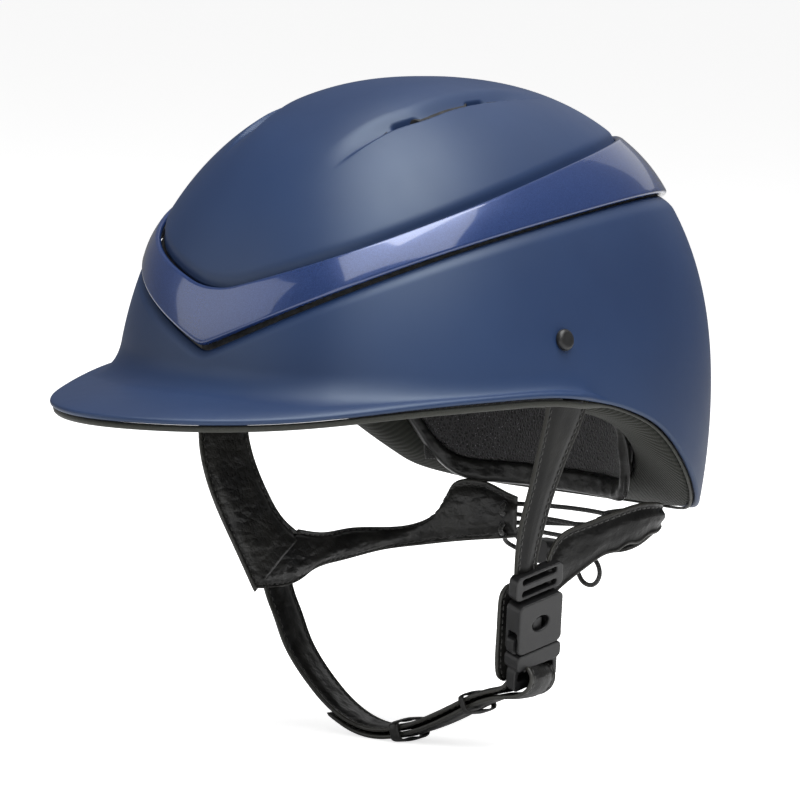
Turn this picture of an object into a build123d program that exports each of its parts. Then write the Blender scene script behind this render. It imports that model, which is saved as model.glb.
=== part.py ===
"""Equestrian riding helmet: a peaked shell with a glossy trim band, a foam liner and a strap harness.

Millimetres, +Z up. The wearer looks along -Y, and the wearer's left side, with the buckle, is +X.
The origin is the centre of the head opening, level with the widest part of the head.
"""

from build123d import *
from math import cos, copysign, pi, sin
import os

os.makedirs("parts", exist_ok=True)

# --- Outer shell ---------------------------------------------------------------------------------
HALF_WIDTH = 108.0          # outside of the shell, from the middle to one side
FRONT = 134.0               # outside of the shell, forwards of the origin, without the peak
REAR = 137.0                # outside of the shell, rearwards of the origin
HEIGHT = 146.0              # crown above the origin
SQUARENESS = 2.7            # exponent of each level section: 2 is an ellipse, more is squarer
SHELL_WALL = 2.6
BAND_PROUD = 1.6            # the trim band stands out this far from the shell
JOINT_GAP = 0.35            # between pieces that meet edge to edge
LOWEST = -66.0              # where the shell's solids start before they are trimmed

# --- Peak ----------------------------------------------------------------------------------------
PEAK_HALF_WIDTH = 114.5
PEAK_REACH = 198.0          # front of the peak, forwards of the origin
PEAK_ROUNDNESS = 1.88       # exponent of the peak's outline: a little more pointed than an ellipse
PEAK_WALL = 2.6
LIP = 3.4                   # thickness of the peak's edge

# --- Inside --------------------------------------------------------------------------------------
LINER_SIDE = 27.0           # shell outside to head cavity: wall, foam and comfort lining
LINER_ENDS = 33.0
PAD_THICKNESS = 4.0         # comfort lining
LINING_COVER = 1.6          # fabric cover on the foam's lower face
HEADBAND_TOP = 34.0

# --- Harness -------------------------------------------------------------------------------------
STRAP_LEAN = 0.30           # the side straps lean inwards by this much for each millimetre down
STRAP_X = 98.0              # where the side straps' planes cross the level of the origin
WEBBING = 2.4
PADDED = 4.4
HINGE_Z = 5.0               # the straps bend here, at the shell's edge
NAPE_CENTRE_Y = 20.0
NAPE_HALF_WIDTH = 74.0
NAPE_LENGTH = 86.0
LACE_RADIUS = 1.1
EYELET_RADIUS = 1.5
EYELET_X = 33.0

# --- Buckle --------------------------------------------------------------------------------------
BUCKLE_WIDTH = 26.0
BUCKLE_HALF = 4.5           # half the depth of the socket and of the plug's block
BAR_HALF = 2.6              # half the depth of the divider and of the bar frames
PRONG_HALF = 2.2
POCKET_HALF = 2.8
SOCKET_LENGTH = 25.0
SOCKET_TOP = -8.0
MOUTH = SOCKET_TOP - SOCKET_LENGTH
PLUG_FOOT = MOUTH - 0.4     # a small gap between the socket's mouth and the plug's block


def save(part, label):
    """Name a finished piece and write it."""
    part.label = label
    export_step(part, f"parts/{label}.step")


# --- Level sections of the helmet ----------------------------------------------------------------
def fullness(height, base, top, power):
    """How wide a level section is, from 1 at the base to 0 at the crown."""
    rise = min(max((height - base) / (top - base), 0.0), 1.0)
    return (1.0 - rise**power) ** (1.0 / power)


def tuck(height, start):
    """The shell draws in slightly below its widest level."""
    return 1.0 - 0.05 * (max(start - height, 0.0) / 60.0) ** 2


def section_points(height, side_inset, end_inset, count=28):
    """Points round one level section of a dome that is inset from the shell's outside."""
    top = HEIGHT - side_inset
    half = (HALF_WIDTH - side_inset) * fullness(height, -20.0, top, 2.18) * tuck(height, -20.0)
    front = (FRONT - end_inset) * fullness(height, -14.0, top, 2.43)
    rear = (REAR - end_inset) * fullness(height, 14.0, top, 2.26) * tuck(height, 14.0)
    lean = 6.0 * max(height / top, 0.0) ** 2
    points = []
    for step in range(count):
        turn = 2.0 * pi * step / count
        across = copysign(abs(sin(turn)) ** (2.0 / SQUARENESS), sin(turn))
        along = copysign(abs(cos(turn)) ** (2.0 / SQUARENESS), cos(turn))
        reach = front if along > 0 else rear
        points.append((half * across, lean - reach * along))
    return points


def dome(side_inset, end_inset):
    """A solid dome with a closed top, from LOWEST to the inset crown."""
    top = HEIGHT - side_inset
    rises = (0.0, 0.2, 0.38, 0.54, 0.68, 0.79, 0.88, 0.945, 0.98, 0.997)
    heights = [LOWEST, LOWEST / 2] + [top * rise for rise in rises]
    with BuildPart() as body:
        for height in heights:
            with BuildSketch(Plane.XY.offset(height)):
                with BuildLine():
                    Spline(*section_points(height, side_inset, end_inset), periodic=True)
                make_face()
        loft()
    return body.part


# --- Side view of the lower edge and of the peak -------------------------------------------------
EDGE = [(-230, -1), (-175, 0.5), (-143, 3), (-101, 8), (-50, 12), (-18, 12.5), (0, 10.5), (20, 8),
        (35, 4), (49, -1.5), (62, -9.5), (75, -19.5), (86, -28.5), (97, -37), (109, -43.5), (125, -46.5),
        (150, -47)]
PEAK_TOP = [(-230, -1 + LIP), (-200, 3.5), (-170, 6.5), (-143, 9.5), (-101, 13), (-50, 16), (20, 18)]
HEADBAND_EDGE = [(-150, 14), (-60, 13), (-20, 10), (10, 5), (35, -1), (50, -8), (62, -18), (73, -31),
                 (84, -41), (95, -43), (150, -44)]


def side_prism(line, far_z, drop=0.0):
    """Everything between a side-view line, lowered by drop, and the level far_z, across the width."""
    with BuildPart() as prism:
        with BuildSketch(Plane.YZ):
            with BuildLine():
                edge = Spline(*[(y, z - drop) for y, z in line])
                Polyline(edge @ 1, ((edge @ 1).X, far_z), ((edge @ 0).X, far_z), edge @ 0)
            make_face()
        extrude(amount=160, both=True)
    return prism.part


def peak_block(inset):
    """The front half of the peak's outline seen from above, as a tall block."""
    points = []
    for step in range(13):
        turn = pi * (step / 12 - 0.5)
        across = copysign(abs(sin(turn)) ** (2.0 / PEAK_ROUNDNESS), turn)
        along = cos(turn) ** (2.0 / PEAK_ROUNDNESS)
        points.append(((PEAK_HALF_WIDTH - inset) * across, (inset - PEAK_REACH) * along))
    with BuildPart() as block:
        with BuildSketch(Plane.XY.offset(-40)):
            with BuildLine():
                front = Spline(*points)
                Line(front @ 1, front @ 0)
            make_face()
        extrude(amount=100)
    return block.part


def trim_wedge(level, climb, flare, crease_radius=0):
    """Everything above a V-shaped edge that climbs rearwards by climb and sideways by flare."""
    with BuildPart() as wedge:
        with BuildSketch(Plane.XZ.offset(300)) as profile:
            with BuildLine():
                base = level - climb * 190
                Polyline((-200, base + 200 * flare), (0, base), (200, base + 200 * flare),
                         (200, 500), (-200, 500), close=True)
            make_face()
            if crease_radius:
                fillet(profile.vertices().sort_by(Axis.Y)[0], crease_radius)
        extrude(amount=600, dir=(0, 1, climb))
    return wedge.part


def dome_wall(outside, inside):
    """The space between two inset domes."""
    with BuildPart() as wall:
        add(dome(outside, outside))
        add(dome(inside, inside), mode=Mode.SUBTRACT)
    return wall.part


# --- Shell pieces --------------------------------------------------------------------------------
BAND_LOW = (34.8, 0.20, 0.41)       # level at y = -110, climb rearwards, flare sideways
BAND_HIGH = (55.8, 0.28, 0.26)
RIVET_Y = -13.0
RIVET_Z = 38.0
RIVET_X = 102.7
RIVET_PLANE = Plane(origin=(RIVET_X, RIVET_Y, RIVET_Z), x_dir=(0, 1, 0), z_dir=(0.98, 0, 0.2))

above_edge = side_prism(EDGE, 200)
shell_wall = dome_wall(0, SHELL_WALL)


def both_sides(piece):
    """The piece and its mirror image, as one group of separate solids."""
    with BuildPart() as pair:
        add(piece)
        mirror(about=Plane.YZ)
    return pair.part


def rivet_hole(radius, depth):
    """A hole through both sides of the helmet, in line with the rivets."""
    with BuildPart() as hole:
        with BuildSketch(RIVET_PLANE.offset(8)):
            Circle(radius)
        extrude(amount=-depth - 8)
    return both_sides(hole.part)


# Two slots in each vent channel: middle of the slot, its length, and its turn about Z.
VENT_SLOTS = [(40.0, -53.0, 16.0, 80.0), (37.4, -4.0, 15.0, 97.0)]

VENT_ROUTE = [(31, -97, 110.5), (36, -74, 125.5), (40, -53, 134), (40.5, -30, 139.5), (37.4, -4, 143),
              (34.5, 20, 144.8), (30, 44, 145.5)]


def vent_cutter(grow):
    """Slots through the crown, one pair each side."""
    with BuildPart() as cutter:
        for x, y, length, turn in VENT_SLOTS:
            with BuildSketch(Plane.XY.offset(60)):
                with Locations(Location((x, y), turn)):
                    SlotOverall(length + 2 * grow, 6 + 2 * grow)
            extrude(amount=100)
    return both_sides(cutter.part)


def vent_channels():
    """A shallow groove along the crown each side, through both of its slots."""
    with BuildPart() as channel:
        with BuildLine() as route:
            Spline(*VENT_ROUTE)
        with BuildSketch(Plane(route.line @ 0, z_dir=route.line % 0)):
            Circle(7)
        sweep(path=route.line)
    return both_sides(channel.part)


with BuildPart() as peak:
    add(peak_block(0))
    add(above_edge, mode=Mode.INTERSECT)
    add(side_prism(PEAK_TOP, -200), mode=Mode.INTERSECT)
    add(dome(SHELL_WALL, SHELL_WALL), mode=Mode.SUBTRACT)

with BuildPart() as peak_hollow:
    add(peak_block(LIP))
    add(side_prism(PEAK_TOP, -200, drop=PEAK_WALL), mode=Mode.INTERSECT)
    add(above_edge, mode=Mode.INTERSECT)
    add(dome(-1.0, -1.0), mode=Mode.SUBTRACT)

with BuildPart() as lower_shell:
    add(shell_wall)
    add(above_edge, mode=Mode.INTERSECT)
    add(trim_wedge(BAND_LOW[0] - JOINT_GAP, *BAND_LOW[1:]), mode=Mode.SUBTRACT)
    add(peak.part)
    add(peak_hollow.part, mode=Mode.SUBTRACT)
    add(rivet_hole(2.1, 10), mode=Mode.SUBTRACT)
save(lower_shell.part, "lower_shell")

with BuildPart() as crown_shell:
    add(shell_wall)
    add(trim_wedge(BAND_HIGH[0] + JOINT_GAP, *BAND_HIGH[1:], crease_radius=60), mode=Mode.INTERSECT)
    add(vent_channels(), mode=Mode.SUBTRACT)
    add(vent_cutter(0), mode=Mode.SUBTRACT)
save(crown_shell.part, "crown_shell")

with BuildPart() as trim_band:
    add(dome_wall(-BAND_PROUD, SHELL_WALL))
    add(trim_wedge(*BAND_LOW), mode=Mode.INTERSECT)
    add(trim_wedge(*BAND_HIGH, crease_radius=60), mode=Mode.SUBTRACT)
save(trim_band.part, "trim_band")

with BuildPart() as peak_lining:
    add(peak_block(LIP + JOINT_GAP))
    add(side_prism(EDGE, 200, drop=-0.4), mode=Mode.INTERSECT)
    add(side_prism(PEAK_TOP, -200, drop=PEAK_WALL + JOINT_GAP), mode=Mode.INTERSECT)
    add(dome(-1.0 - JOINT_GAP, -1.0 - JOINT_GAP), mode=Mode.SUBTRACT)
save(peak_lining.part, "peak_lining")

# --- Liner and comfort lining --------------------------------------------------------------------
cavity = dome(LINER_SIDE, LINER_ENDS)
below_brow = side_prism([(-230, HEADBAND_TOP), (0, HEADBAND_TOP), (150, HEADBAND_TOP)], -200)


def lining_ring(gap, thickness):
    """The comfort band's wall: it stands just inside the foam."""
    with BuildPart() as ring:
        add(dome(LINER_SIDE + gap, LINER_ENDS + gap))
        add(dome(LINER_SIDE + gap + thickness, LINER_ENDS + gap + thickness), mode=Mode.SUBTRACT)
    return ring.part


with BuildPart() as strap_pockets:
    with BuildSketch(Plane(origin=(107, RIVET_Y + 1, 24), x_dir=(0, 1, 0), z_dir=(0.98, 0, 0.2))):
        RectangleRounded(44, 76, 6)
    extrude(amount=-13)
    mirror(about=Plane.YZ)

with BuildPart() as dot_blanks:
    for turn in (30, 75, 120, 165, 210, 255, 300, 345):
        with BuildSketch(Plane.XZ.rotated((0, 0, turn)).offset(60)):
            with Locations((0, 25)):
                Circle(7.5)
        extrude(amount=60)

with BuildPart() as dot_pockets:
    add(dot_blanks.part)
    add(dome(LINER_SIDE - 1.2, LINER_ENDS - 1.2), mode=Mode.INTERSECT)

with BuildPart() as foam_liner:
    add(dome(SHELL_WALL + 0.2, SHELL_WALL + 0.2))
    add(cavity, mode=Mode.SUBTRACT)
    add(side_prism(EDGE, 200, drop=-LINING_COVER - 0.6), mode=Mode.INTERSECT)
    add(strap_pockets.part, mode=Mode.SUBTRACT)
    add(vent_cutter(1), mode=Mode.SUBTRACT)
    add(dot_pockets.part, mode=Mode.SUBTRACT)
save(foam_liner.part, "foam_liner")

with BuildPart() as lining_dots:
    add(lining_ring(-1.1, 1.1))
    add(dot_blanks.part, mode=Mode.INTERSECT)
save(lining_dots.part, "lining_dots")

with BuildPart() as edge_lining:
    add(dome(SHELL_WALL + 0.2, SHELL_WALL + 0.2))
    add(cavity, mode=Mode.SUBTRACT)
    add(side_prism(EDGE, 200, drop=-0.4), mode=Mode.INTERSECT)
    add(side_prism(EDGE, 200, drop=-LINING_COVER - 0.4), mode=Mode.SUBTRACT)
    add(strap_pockets.part, mode=Mode.SUBTRACT)
save(edge_lining.part, "edge_lining")

with BuildPart() as headband_pad:
    add(lining_ring(0.3, PAD_THICKNESS))
    add(side_prism(HEADBAND_EDGE, 200, drop=-10.3), mode=Mode.INTERSECT)
    add(below_brow, mode=Mode.INTERSECT)
save(headband_pad.part, "headband_pad")

with BuildPart() as headband_trim:
    add(lining_ring(0.3, PAD_THICKNESS))
    add(side_prism(HEADBAND_EDGE, 200), mode=Mode.INTERSECT)
    add(side_prism(HEADBAND_EDGE, 200, drop=-10), mode=Mode.SUBTRACT)
save(headband_trim.part, "headband_trim")

with BuildPart() as crown_pad:
    add(lining_ring(0.3, PAD_THICKNESS))
    with BuildSketch(Plane.XY.offset(40)):
        RectangleRounded(34, 150, 16)
        RectangleRounded(110, 34, 16)
    extrude(amount=120, mode=Mode.INTERSECT)
save(crown_pad.part, "crown_pad")

# --- Rivets and strap anchors --------------------------------------------------------------------
HEAD_RADIUS = 4.8
SHANK_RADIUS = 2.0

with BuildPart() as rivet:
    with BuildSketch(RIVET_PLANE.offset(0.4)):
        Circle(HEAD_RADIUS)
    extrude(amount=2.6)
    fillet(rivet.faces().sort_by(Axis.X)[-1].edges(), 2.0)
    with BuildSketch(RIVET_PLANE.offset(0.4)):
        Circle(SHANK_RADIUS)
    extrude(amount=-9.2)
save(both_sides(rivet.part), "side_rivets")

with BuildPart() as washer:
    with BuildSketch(RIVET_PLANE.offset(-8.8)):
        Circle(6)
        Circle(SHANK_RADIUS + 0.1, mode=Mode.SUBTRACT)
    extrude(amount=1)
save(both_sides(washer.part), "rivet_washers")

with BuildPart() as strap_anchor:
    with BuildSketch(Plane(origin=(97.4, RIVET_Y, RIVET_Z), x_dir=(0, 1, 0), z_dir=(0.99, 0, 0.10))):
        with Locations((0, -12)):
            RectangleRounded(25, 35, 5)
        with Locations((0, 0)):
            Circle(SHANK_RADIUS + 1.3, mode=Mode.SUBTRACT)
    extrude(amount=WEBBING / 2, both=True)
save(both_sides(strap_anchor.part), "strap_anchors")

# --- Side straps ---------------------------------------------------------------------------------
# A side plane leans inwards going down. Its own coordinates are Y and the way up along the plane.
RISE = 1.0 / (1.0 + STRAP_LEAN**2) ** 0.5
LEFT_PLANE = Plane(origin=(STRAP_X, 0, 0), x_dir=(0, 1, 0), z_dir=(RISE, 0, -STRAP_LEAN * RISE))
RIGHT_PLANE = Plane(origin=(-STRAP_X, 0, 0), x_dir=(0, 1, 0), z_dir=(RISE, 0, STRAP_LEAN * RISE))


def side_strap(plane, outline, thickness, offset=0.0, corner=2.0):
    """A flat strap piece in a side plane. The outline is given as Y and Z."""
    points = [(y, z / RISE) for y, z in outline]
    with BuildPart() as strap:
        with BuildSketch(plane.offset(offset)) as profile:
            with BuildLine():
                Polyline(*points, close=True)
            make_face()
            fillet(profile.vertices(), corner)
        extrude(amount=thickness / 2, both=True)
    return strap.part


FRONT_STRAP_LEFT = [(-26, HINGE_Z), (0, HINGE_Z), (5.5, -30), (9.5, -61), (-10.5, -61), (-17, -30)]
REAR_STRAP_LEFT = [(9, -60), (30, -42), (54, -30), (60, -46), (46, -58), (24, -77)]
FRONT_STRAP_RIGHT = [(-36, HINGE_Z), (-10, HINGE_Z), (-18, -24), (-8.5, -51), (0, -61), (9.5, -66.8),
                     (-24.6, -91), (-35, -68), (-41, -51), (-44, -24)]
REAR_STRAP_RIGHT = [(10.5, -67.2), (42, -68.5), (66, -64), (66, -78), (32, -83), (8, -88), (-23, -91.2)]

save(side_strap(LEFT_PLANE, FRONT_STRAP_LEFT, 3.4), "front_strap_left")
save(side_strap(LEFT_PLANE, REAR_STRAP_LEFT, 3.0, offset=-4.8), "rear_strap_left")
save(side_strap(RIGHT_PLANE, FRONT_STRAP_RIGHT, PADDED), "front_strap_right")
save(side_strap(RIGHT_PLANE, REAR_STRAP_RIGHT, PADDED, corner=0.3), "rear_strap_right")

# --- Nape pads and lace --------------------------------------------------------------------------
NAPE_WALL = 4.0


def nape_arc(grow):
    """Half-axes of the nape ellipse, grown outwards."""
    return NAPE_HALF_WIDTH + grow, NAPE_LENGTH + grow


def nape_pad(side, low, high):
    """A pad that follows the nape from the eyelets to the side strap."""
    with BuildPart() as pad:
        with BuildSketch(Plane.XY.offset(low)):
            with Locations((0, NAPE_CENTRE_Y)):
                Ellipse(*nape_arc(NAPE_WALL / 2))
                Ellipse(*nape_arc(-NAPE_WALL / 2), mode=Mode.SUBTRACT)
            with Locations((side * 100, NAPE_CENTRE_Y + 82)):
                Rectangle(2 * (100 - EYELET_X + 6), 100, mode=Mode.INTERSECT)
        extrude(amount=high - low)
        fillet(pad.edges().filter_by(GeomType.LINE).filter_by(Axis.Z), 1.0)
    return pad.part


LEFT_EYELETS = [-52, -56.5, -61, -65.5]
RIGHT_EYELETS = [-53, -57.5, -62, -66.5]


def eyelet_y(grow=0.0):
    """Where the nape ellipse crosses the eyelets' distance from the middle."""
    half, length = nape_arc(grow)
    return NAPE_CENTRE_Y + length * (1 - (EYELET_X / half) ** 2) ** 0.5


def eyelet_plane(side, z):
    """A plane square to the nape ellipse at an eyelet, facing outwards."""
    half, length = nape_arc(0)
    y = eyelet_y()
    normal = (side * EYELET_X / half**2, (y - NAPE_CENTRE_Y) / length**2, 0)
    return Plane(origin=(side * EYELET_X, y, z), x_dir=(0, 0, 1), z_dir=normal)


eyelet_places = [(1, z) for z in LEFT_EYELETS] + [(-1, z) for z in RIGHT_EYELETS]
with BuildPart() as eyelet_holes:
    for side, z in eyelet_places:
        with BuildSketch(eyelet_plane(side, z)):
            Circle(EYELET_RADIUS + 0.35)
        extrude(amount=6, both=True)

with BuildPart() as nape_pad_left:
    add(nape_pad(1, -69, -49))
    add(eyelet_holes.part, mode=Mode.SUBTRACT)
save(nape_pad_left.part, "nape_pad_left")

with BuildPart() as nape_pad_right:
    add(nape_pad(-1, -73, -49.5))
    add(eyelet_holes.part, mode=Mode.SUBTRACT)
save(nape_pad_right.part, "nape_pad_right")

with BuildPart() as nape_eyelets:
    for side, z in eyelet_places:
        with BuildSketch(eyelet_plane(side, z).offset(-NAPE_WALL / 2 - 0.4)):
            Circle(EYELET_RADIUS + 0.3)
            Circle(EYELET_RADIUS, mode=Mode.SUBTRACT)
        extrude(amount=NAPE_WALL + 0.8)
save(nape_eyelets.part, "nape_eyelets")


def corner_radii(points):
    """The largest arc for each corner of a route: 0.45 of its shorter run, over tan of half the turn."""
    radii = []
    for before, corner, after in zip(points, points[1:], points[2:]):
        run_in = Vector(*corner) - Vector(*before)
        run_out = Vector(*after) - Vector(*corner)
        half_turn = run_in.get_angle(run_out) * pi / 360.0
        radii.append(0.45 * min(run_in.length, run_out.length) * cos(half_turn) / sin(half_turn))
    return radii


def cord(points, radius, label):
    """A round cord along straight runs and tangent arcs."""
    radii = corner_radii(points)
    with BuildPart() as tube:
        with BuildLine() as route:
            FilletPolyline(*points, radius=radii)
        with BuildSketch(Plane(route.line @ 0, z_dir=route.line % 0)):
            Circle(radius)
        sweep(path=route.line)
    length = sum(edge.length for edge in route.line.edges())
    error = tube.part.volume - pi * radius**2 * length
    print(label, "length", round(length, 1), "volume error", round(error, 1))
    print(label, "radii", [round(value, 1) for value in radii])
    return tube.part


LACE_SPACING = 2.2                  # half the distance between the two ends in the cord lock
LOCK_X = -22.0
LOCK_Y = 113.0
LOCK_Z = -74.0

LACE_ROUTE = [
    (-10, 113, -71.8), (-22, 113.15, -71.8), (-34, 113, -71.8), (-40, 113, -70), (-39.5, 112, -65.8),
    (-33, 110.8, -65), (36.3, 102.6, -65.5), (30, 91.8, -65.5), (30, 91.8, -61), (36.3, 102.6, -61),
    (0, 111, -59), (-36.3, 102.6, -57.5), (-30, 91.8, -57.5), (-30, 91.8, -53), (-36.3, 102.6, -53),
    (0, 112, -52), (36.3, 102.6, -52), (30, 91.8, -52), (30, 91.8, -56.5), (36.3, 102.6, -56.5),
    (0, 116, -59.5), (-36.3, 102.6, -62), (-30, 91.8, -62), (-30, 91.8, -66.5), (-36.3, 102.6, -66.5),
    (-43, 107.5, -71.5), (-38.5, 112.4, -75), (-31, 113, -76.2), (-20, 113.15, -76.2), (-10, 113, -76.2),
]
save(cord(LACE_ROUTE, LACE_RADIUS, "nape_lace"), "nape_lace")

TAIL_ROUTE = [
    (-9.8, 113, -71.8), (-3, 113.2, -71.8), (5, 113.8, -72.4), (11.2, 114.2, -76), (13, 114.4, -82),
    (9, 114.2, -87.2), (2.4, 113.9, -86.4), (-1, 113.4, -80.8), (-5, 113, -76.3), (-9.8, 113, -76.2),
]
save(cord(TAIL_ROUTE, LACE_RADIUS, "lace_tail"), "lace_tail")

# --- Cord lock on the lace: a barrel with a sprung button at its back -----------------------------
LOCK_LENGTH = 13.0
LOCK_HEIGHT = 11.0

with BuildPart() as cord_lock_body:
    with BuildSketch(Plane.XZ.offset(-LOCK_Y - 5)):
        with Locations((LOCK_X, LOCK_Z)):
            RectangleRounded(LOCK_LENGTH, LOCK_HEIGHT, 3)
    extrude(amount=10)
    with BuildSketch(Plane.YZ.offset(LOCK_X - LOCK_LENGTH / 2 - 1)):
        with Locations((LOCK_Y, LOCK_Z - LACE_SPACING), (LOCK_Y, LOCK_Z + LACE_SPACING)):
            Circle(LACE_RADIUS + 0.5)
    extrude(amount=LOCK_LENGTH + 2, mode=Mode.SUBTRACT)
    with BuildSketch(Plane.XZ.offset(-LOCK_Y - 6)):
        with Locations((LOCK_X, LOCK_Z)):
            Circle(3.4)
    extrude(amount=4.8, mode=Mode.SUBTRACT)
save(cord_lock_body.part, "cord_lock_body")

with BuildPart() as cord_lock_button:
    with BuildSketch(Plane.XZ.offset(-LOCK_Y - 8.2)):
        with Locations((LOCK_X, LOCK_Z)):
            Circle(3.1)
    extrude(amount=5.0)
    fillet(cord_lock_button.faces().sort_by(Axis.Y)[-1].edges(), 0.8)
save(cord_lock_button.part, "cord_lock_button")

with BuildPart() as lace_bead:
    with BuildSketch(Plane.XZ.offset(-116.6)):
        with Locations((2.5, -72.2)):
            Circle(3.0)
    extrude(amount=5.2)
save(lace_bead.part, "lace_bead")

# --- Hangers: webbing from the nape pads up to the shell's rim -----------------------------------
with BuildPart() as hanger:
    with BuildSketch(Plane(origin=(61, 80, -44), x_dir=(-0.77, 0.64, 0), z_dir=(0.45, 0.54, -0.71))):
        RectangleRounded(16, 9, 1)
    extrude(amount=1.2, both=True)
save(both_sides(hanger.part), "nape_hangers")

# --- Buckle on the wearer's left -----------------------------------------------------------------
# The buckle's own plane: Y up along the strap, X across it, Z outwards.
BUCKLE_ORIGIN = LEFT_PLANE.from_local_coords(Vector(4.5, -74, 0))
BUCKLE_TURN = 16.7 * pi / 180.0
BUCKLE_PLANE = Plane(
    origin=BUCKLE_ORIGIN,
    x_dir=LEFT_PLANE.x_dir * cos(BUCKLE_TURN) + LEFT_PLANE.y_dir * sin(BUCKLE_TURN),
    z_dir=LEFT_PLANE.z_dir,
)


def buckle_slab(x, y, width, height, low, high, corner=0.0):
    """A slab in the buckle's plane, centred at x, y, from low to high outwards."""
    with BuildPart() as slab:
        with BuildSketch(BUCKLE_PLANE.offset(low)):
            with Locations((x, y)):
                if corner:
                    RectangleRounded(width, height, corner)
                else:
                    Rectangle(width, height)
        extrude(amount=high - low)
    return slab.part


with BuildPart() as strap_divider:
    add(buckle_slab(0, 0, 28, 12, -BAR_HALF, BAR_HALF, 3))
    add(buckle_slab(0, -3, 20.5, 3, -4, 4, 1.2), mode=Mode.SUBTRACT)
    add(buckle_slab(0, 3, 20.5, 3, -4, 4, 1.2), mode=Mode.SUBTRACT)
save(strap_divider.part, "strap_divider")

with BuildPart() as buckle_socket:
    add(buckle_slab(0, SOCKET_TOP - SOCKET_LENGTH / 2, BUCKLE_WIDTH, SOCKET_LENGTH,
                    -BUCKLE_HALF, BUCKLE_HALF, 3))
    add(buckle_slab(0, MOUTH + 9, 19.6, 20, -POCKET_HALF, POCKET_HALF), mode=Mode.SUBTRACT)
    add(buckle_slab(0, MOUTH + 5, 40, 12, -POCKET_HALF, POCKET_HALF), mode=Mode.SUBTRACT)
    with BuildSketch(BUCKLE_PLANE.offset(1)):
        with Locations((0, MOUTH + 13)):
            Ellipse(5, 3.6)
    extrude(amount=6, mode=Mode.SUBTRACT)
save(buckle_socket.part, "buckle_socket")

with BuildPart() as buckle_plug:
    add(buckle_slab(0, PLUG_FOOT - 4, BUCKLE_WIDTH, 8, -BUCKLE_HALF, BUCKLE_HALF, 2.4))
    add(buckle_slab(0, MOUTH + 7, 5.6, 15.5, -PRONG_HALF, PRONG_HALF, 1))
    add(buckle_slab(0, PLUG_FOOT - 13, BUCKLE_WIDTH, 12, -BAR_HALF, BAR_HALF, 2.4))
    add(buckle_slab(0, PLUG_FOOT - 12, 21, 4.4, -4, 4, 1.5), mode=Mode.SUBTRACT)
save(buckle_plug.part, "buckle_plug")


def prong(side):
    """A squeeze prong of the plug, with the thumb cheek that stands out at the socket's mouth."""
    with BuildPart() as finger:
        add(buckle_slab(side * 6.9, MOUTH + 7.5, 3.6, 15, -PRONG_HALF, PRONG_HALF, 1.2))
        add(buckle_slab(side * 10.4, MOUTH + 4.4, 7.4, 7.6, -PRONG_HALF, PRONG_HALF, 1.6))
    return finger.part


save(prong(-1), "buckle_prong_front")
save(prong(1), "buckle_prong_rear")
save(buckle_slab(-1.5, -28, 25, 48, -10.4, -7.2, 6), "buckle_pad")

# --- Chin strap ----------------------------------------------------------------------------------
CHIN_PLANE = Plane(origin=(-69, -7, 0), x_dir=(0.98, 0.194, 0), z_dir=(0.194, -0.98, 0))
CHIN_ROUTE = [(-2, -95), (4, -114), (17, -132), (33, -143.5), (56, -148), (80, -142.5), (101, -132),
              (117, -124.5), (127, -121)]
CHIN_WIDTH = 22.0
CHIN_THICKNESS = 3.0
TAIL_WIDTH = 20.0
TAIL_THICKNESS = 2.4
TAIL_START = 0.36                   # the doubled-back end, as a share of the chin strap's length
KEEPER_PLACES = {"strap_keeper_front": 0.62, "strap_keeper_rear": 0.86}


def route_plane(route, share):
    """A plane square to a route, with X across the strap and Y away from the chin."""
    return Plane(route @ share, x_dir=CHIN_PLANE.z_dir, z_dir=route % share)


def flat_sweep(route, width, thickness):
    """A flat strap along a route."""
    with BuildPart() as strap:
        with BuildSketch(route_plane(route, 0)):
            Rectangle(width, thickness)
        sweep(path=route)
    return strap.part


with BuildLine() as chin_line:
    Spline(*[CHIN_PLANE.from_local_coords(Vector(*point)) for point in CHIN_ROUTE])
chin_route = chin_line.edges()[0]
save(flat_sweep(chin_route, CHIN_WIDTH, CHIN_THICKNESS), "chin_strap")

tail_drop = (CHIN_THICKNESS + TAIL_THICKNESS) / 2 + 0.5
tail_points = []
for step in range(7):
    place = route_plane(chin_route, TAIL_START + (0.985 - TAIL_START) * step / 6)
    tail_points.append(place.from_local_coords(Vector(0, tail_drop, 0)))
with BuildLine() as tail_line:
    Spline(*tail_points)
save(flat_sweep(tail_line.edges()[0], TAIL_WIDTH, TAIL_THICKNESS), "chin_strap_tail")

for label, share in KEEPER_PLACES.items():
    place = route_plane(chin_route, share)
    with BuildPart() as keeper:
        with BuildSketch(place.offset(-2.5)):
            with Locations((0, tail_drop / 2)):
                RectangleRounded(CHIN_WIDTH + 4.4, 11.4, 2)
                RectangleRounded(CHIN_WIDTH + 1.6, 8.2, 0.8, mode=Mode.SUBTRACT)
        extrude(amount=5)
    save(keeper.part, label)
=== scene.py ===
"""Looks of the riding helmet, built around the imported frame.

Helper functions work in millimetres in the frame's own axes: +Z up, the peak points along -Y, and
the wearer's left, with the buckle, is +X. Meshes are written in metres.
"""

from collections import Counter
from math import atan, cos, pi, radians, sin

import bmesh
import bpy
import numpy as np
from mathutils import Matrix, Vector


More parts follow.
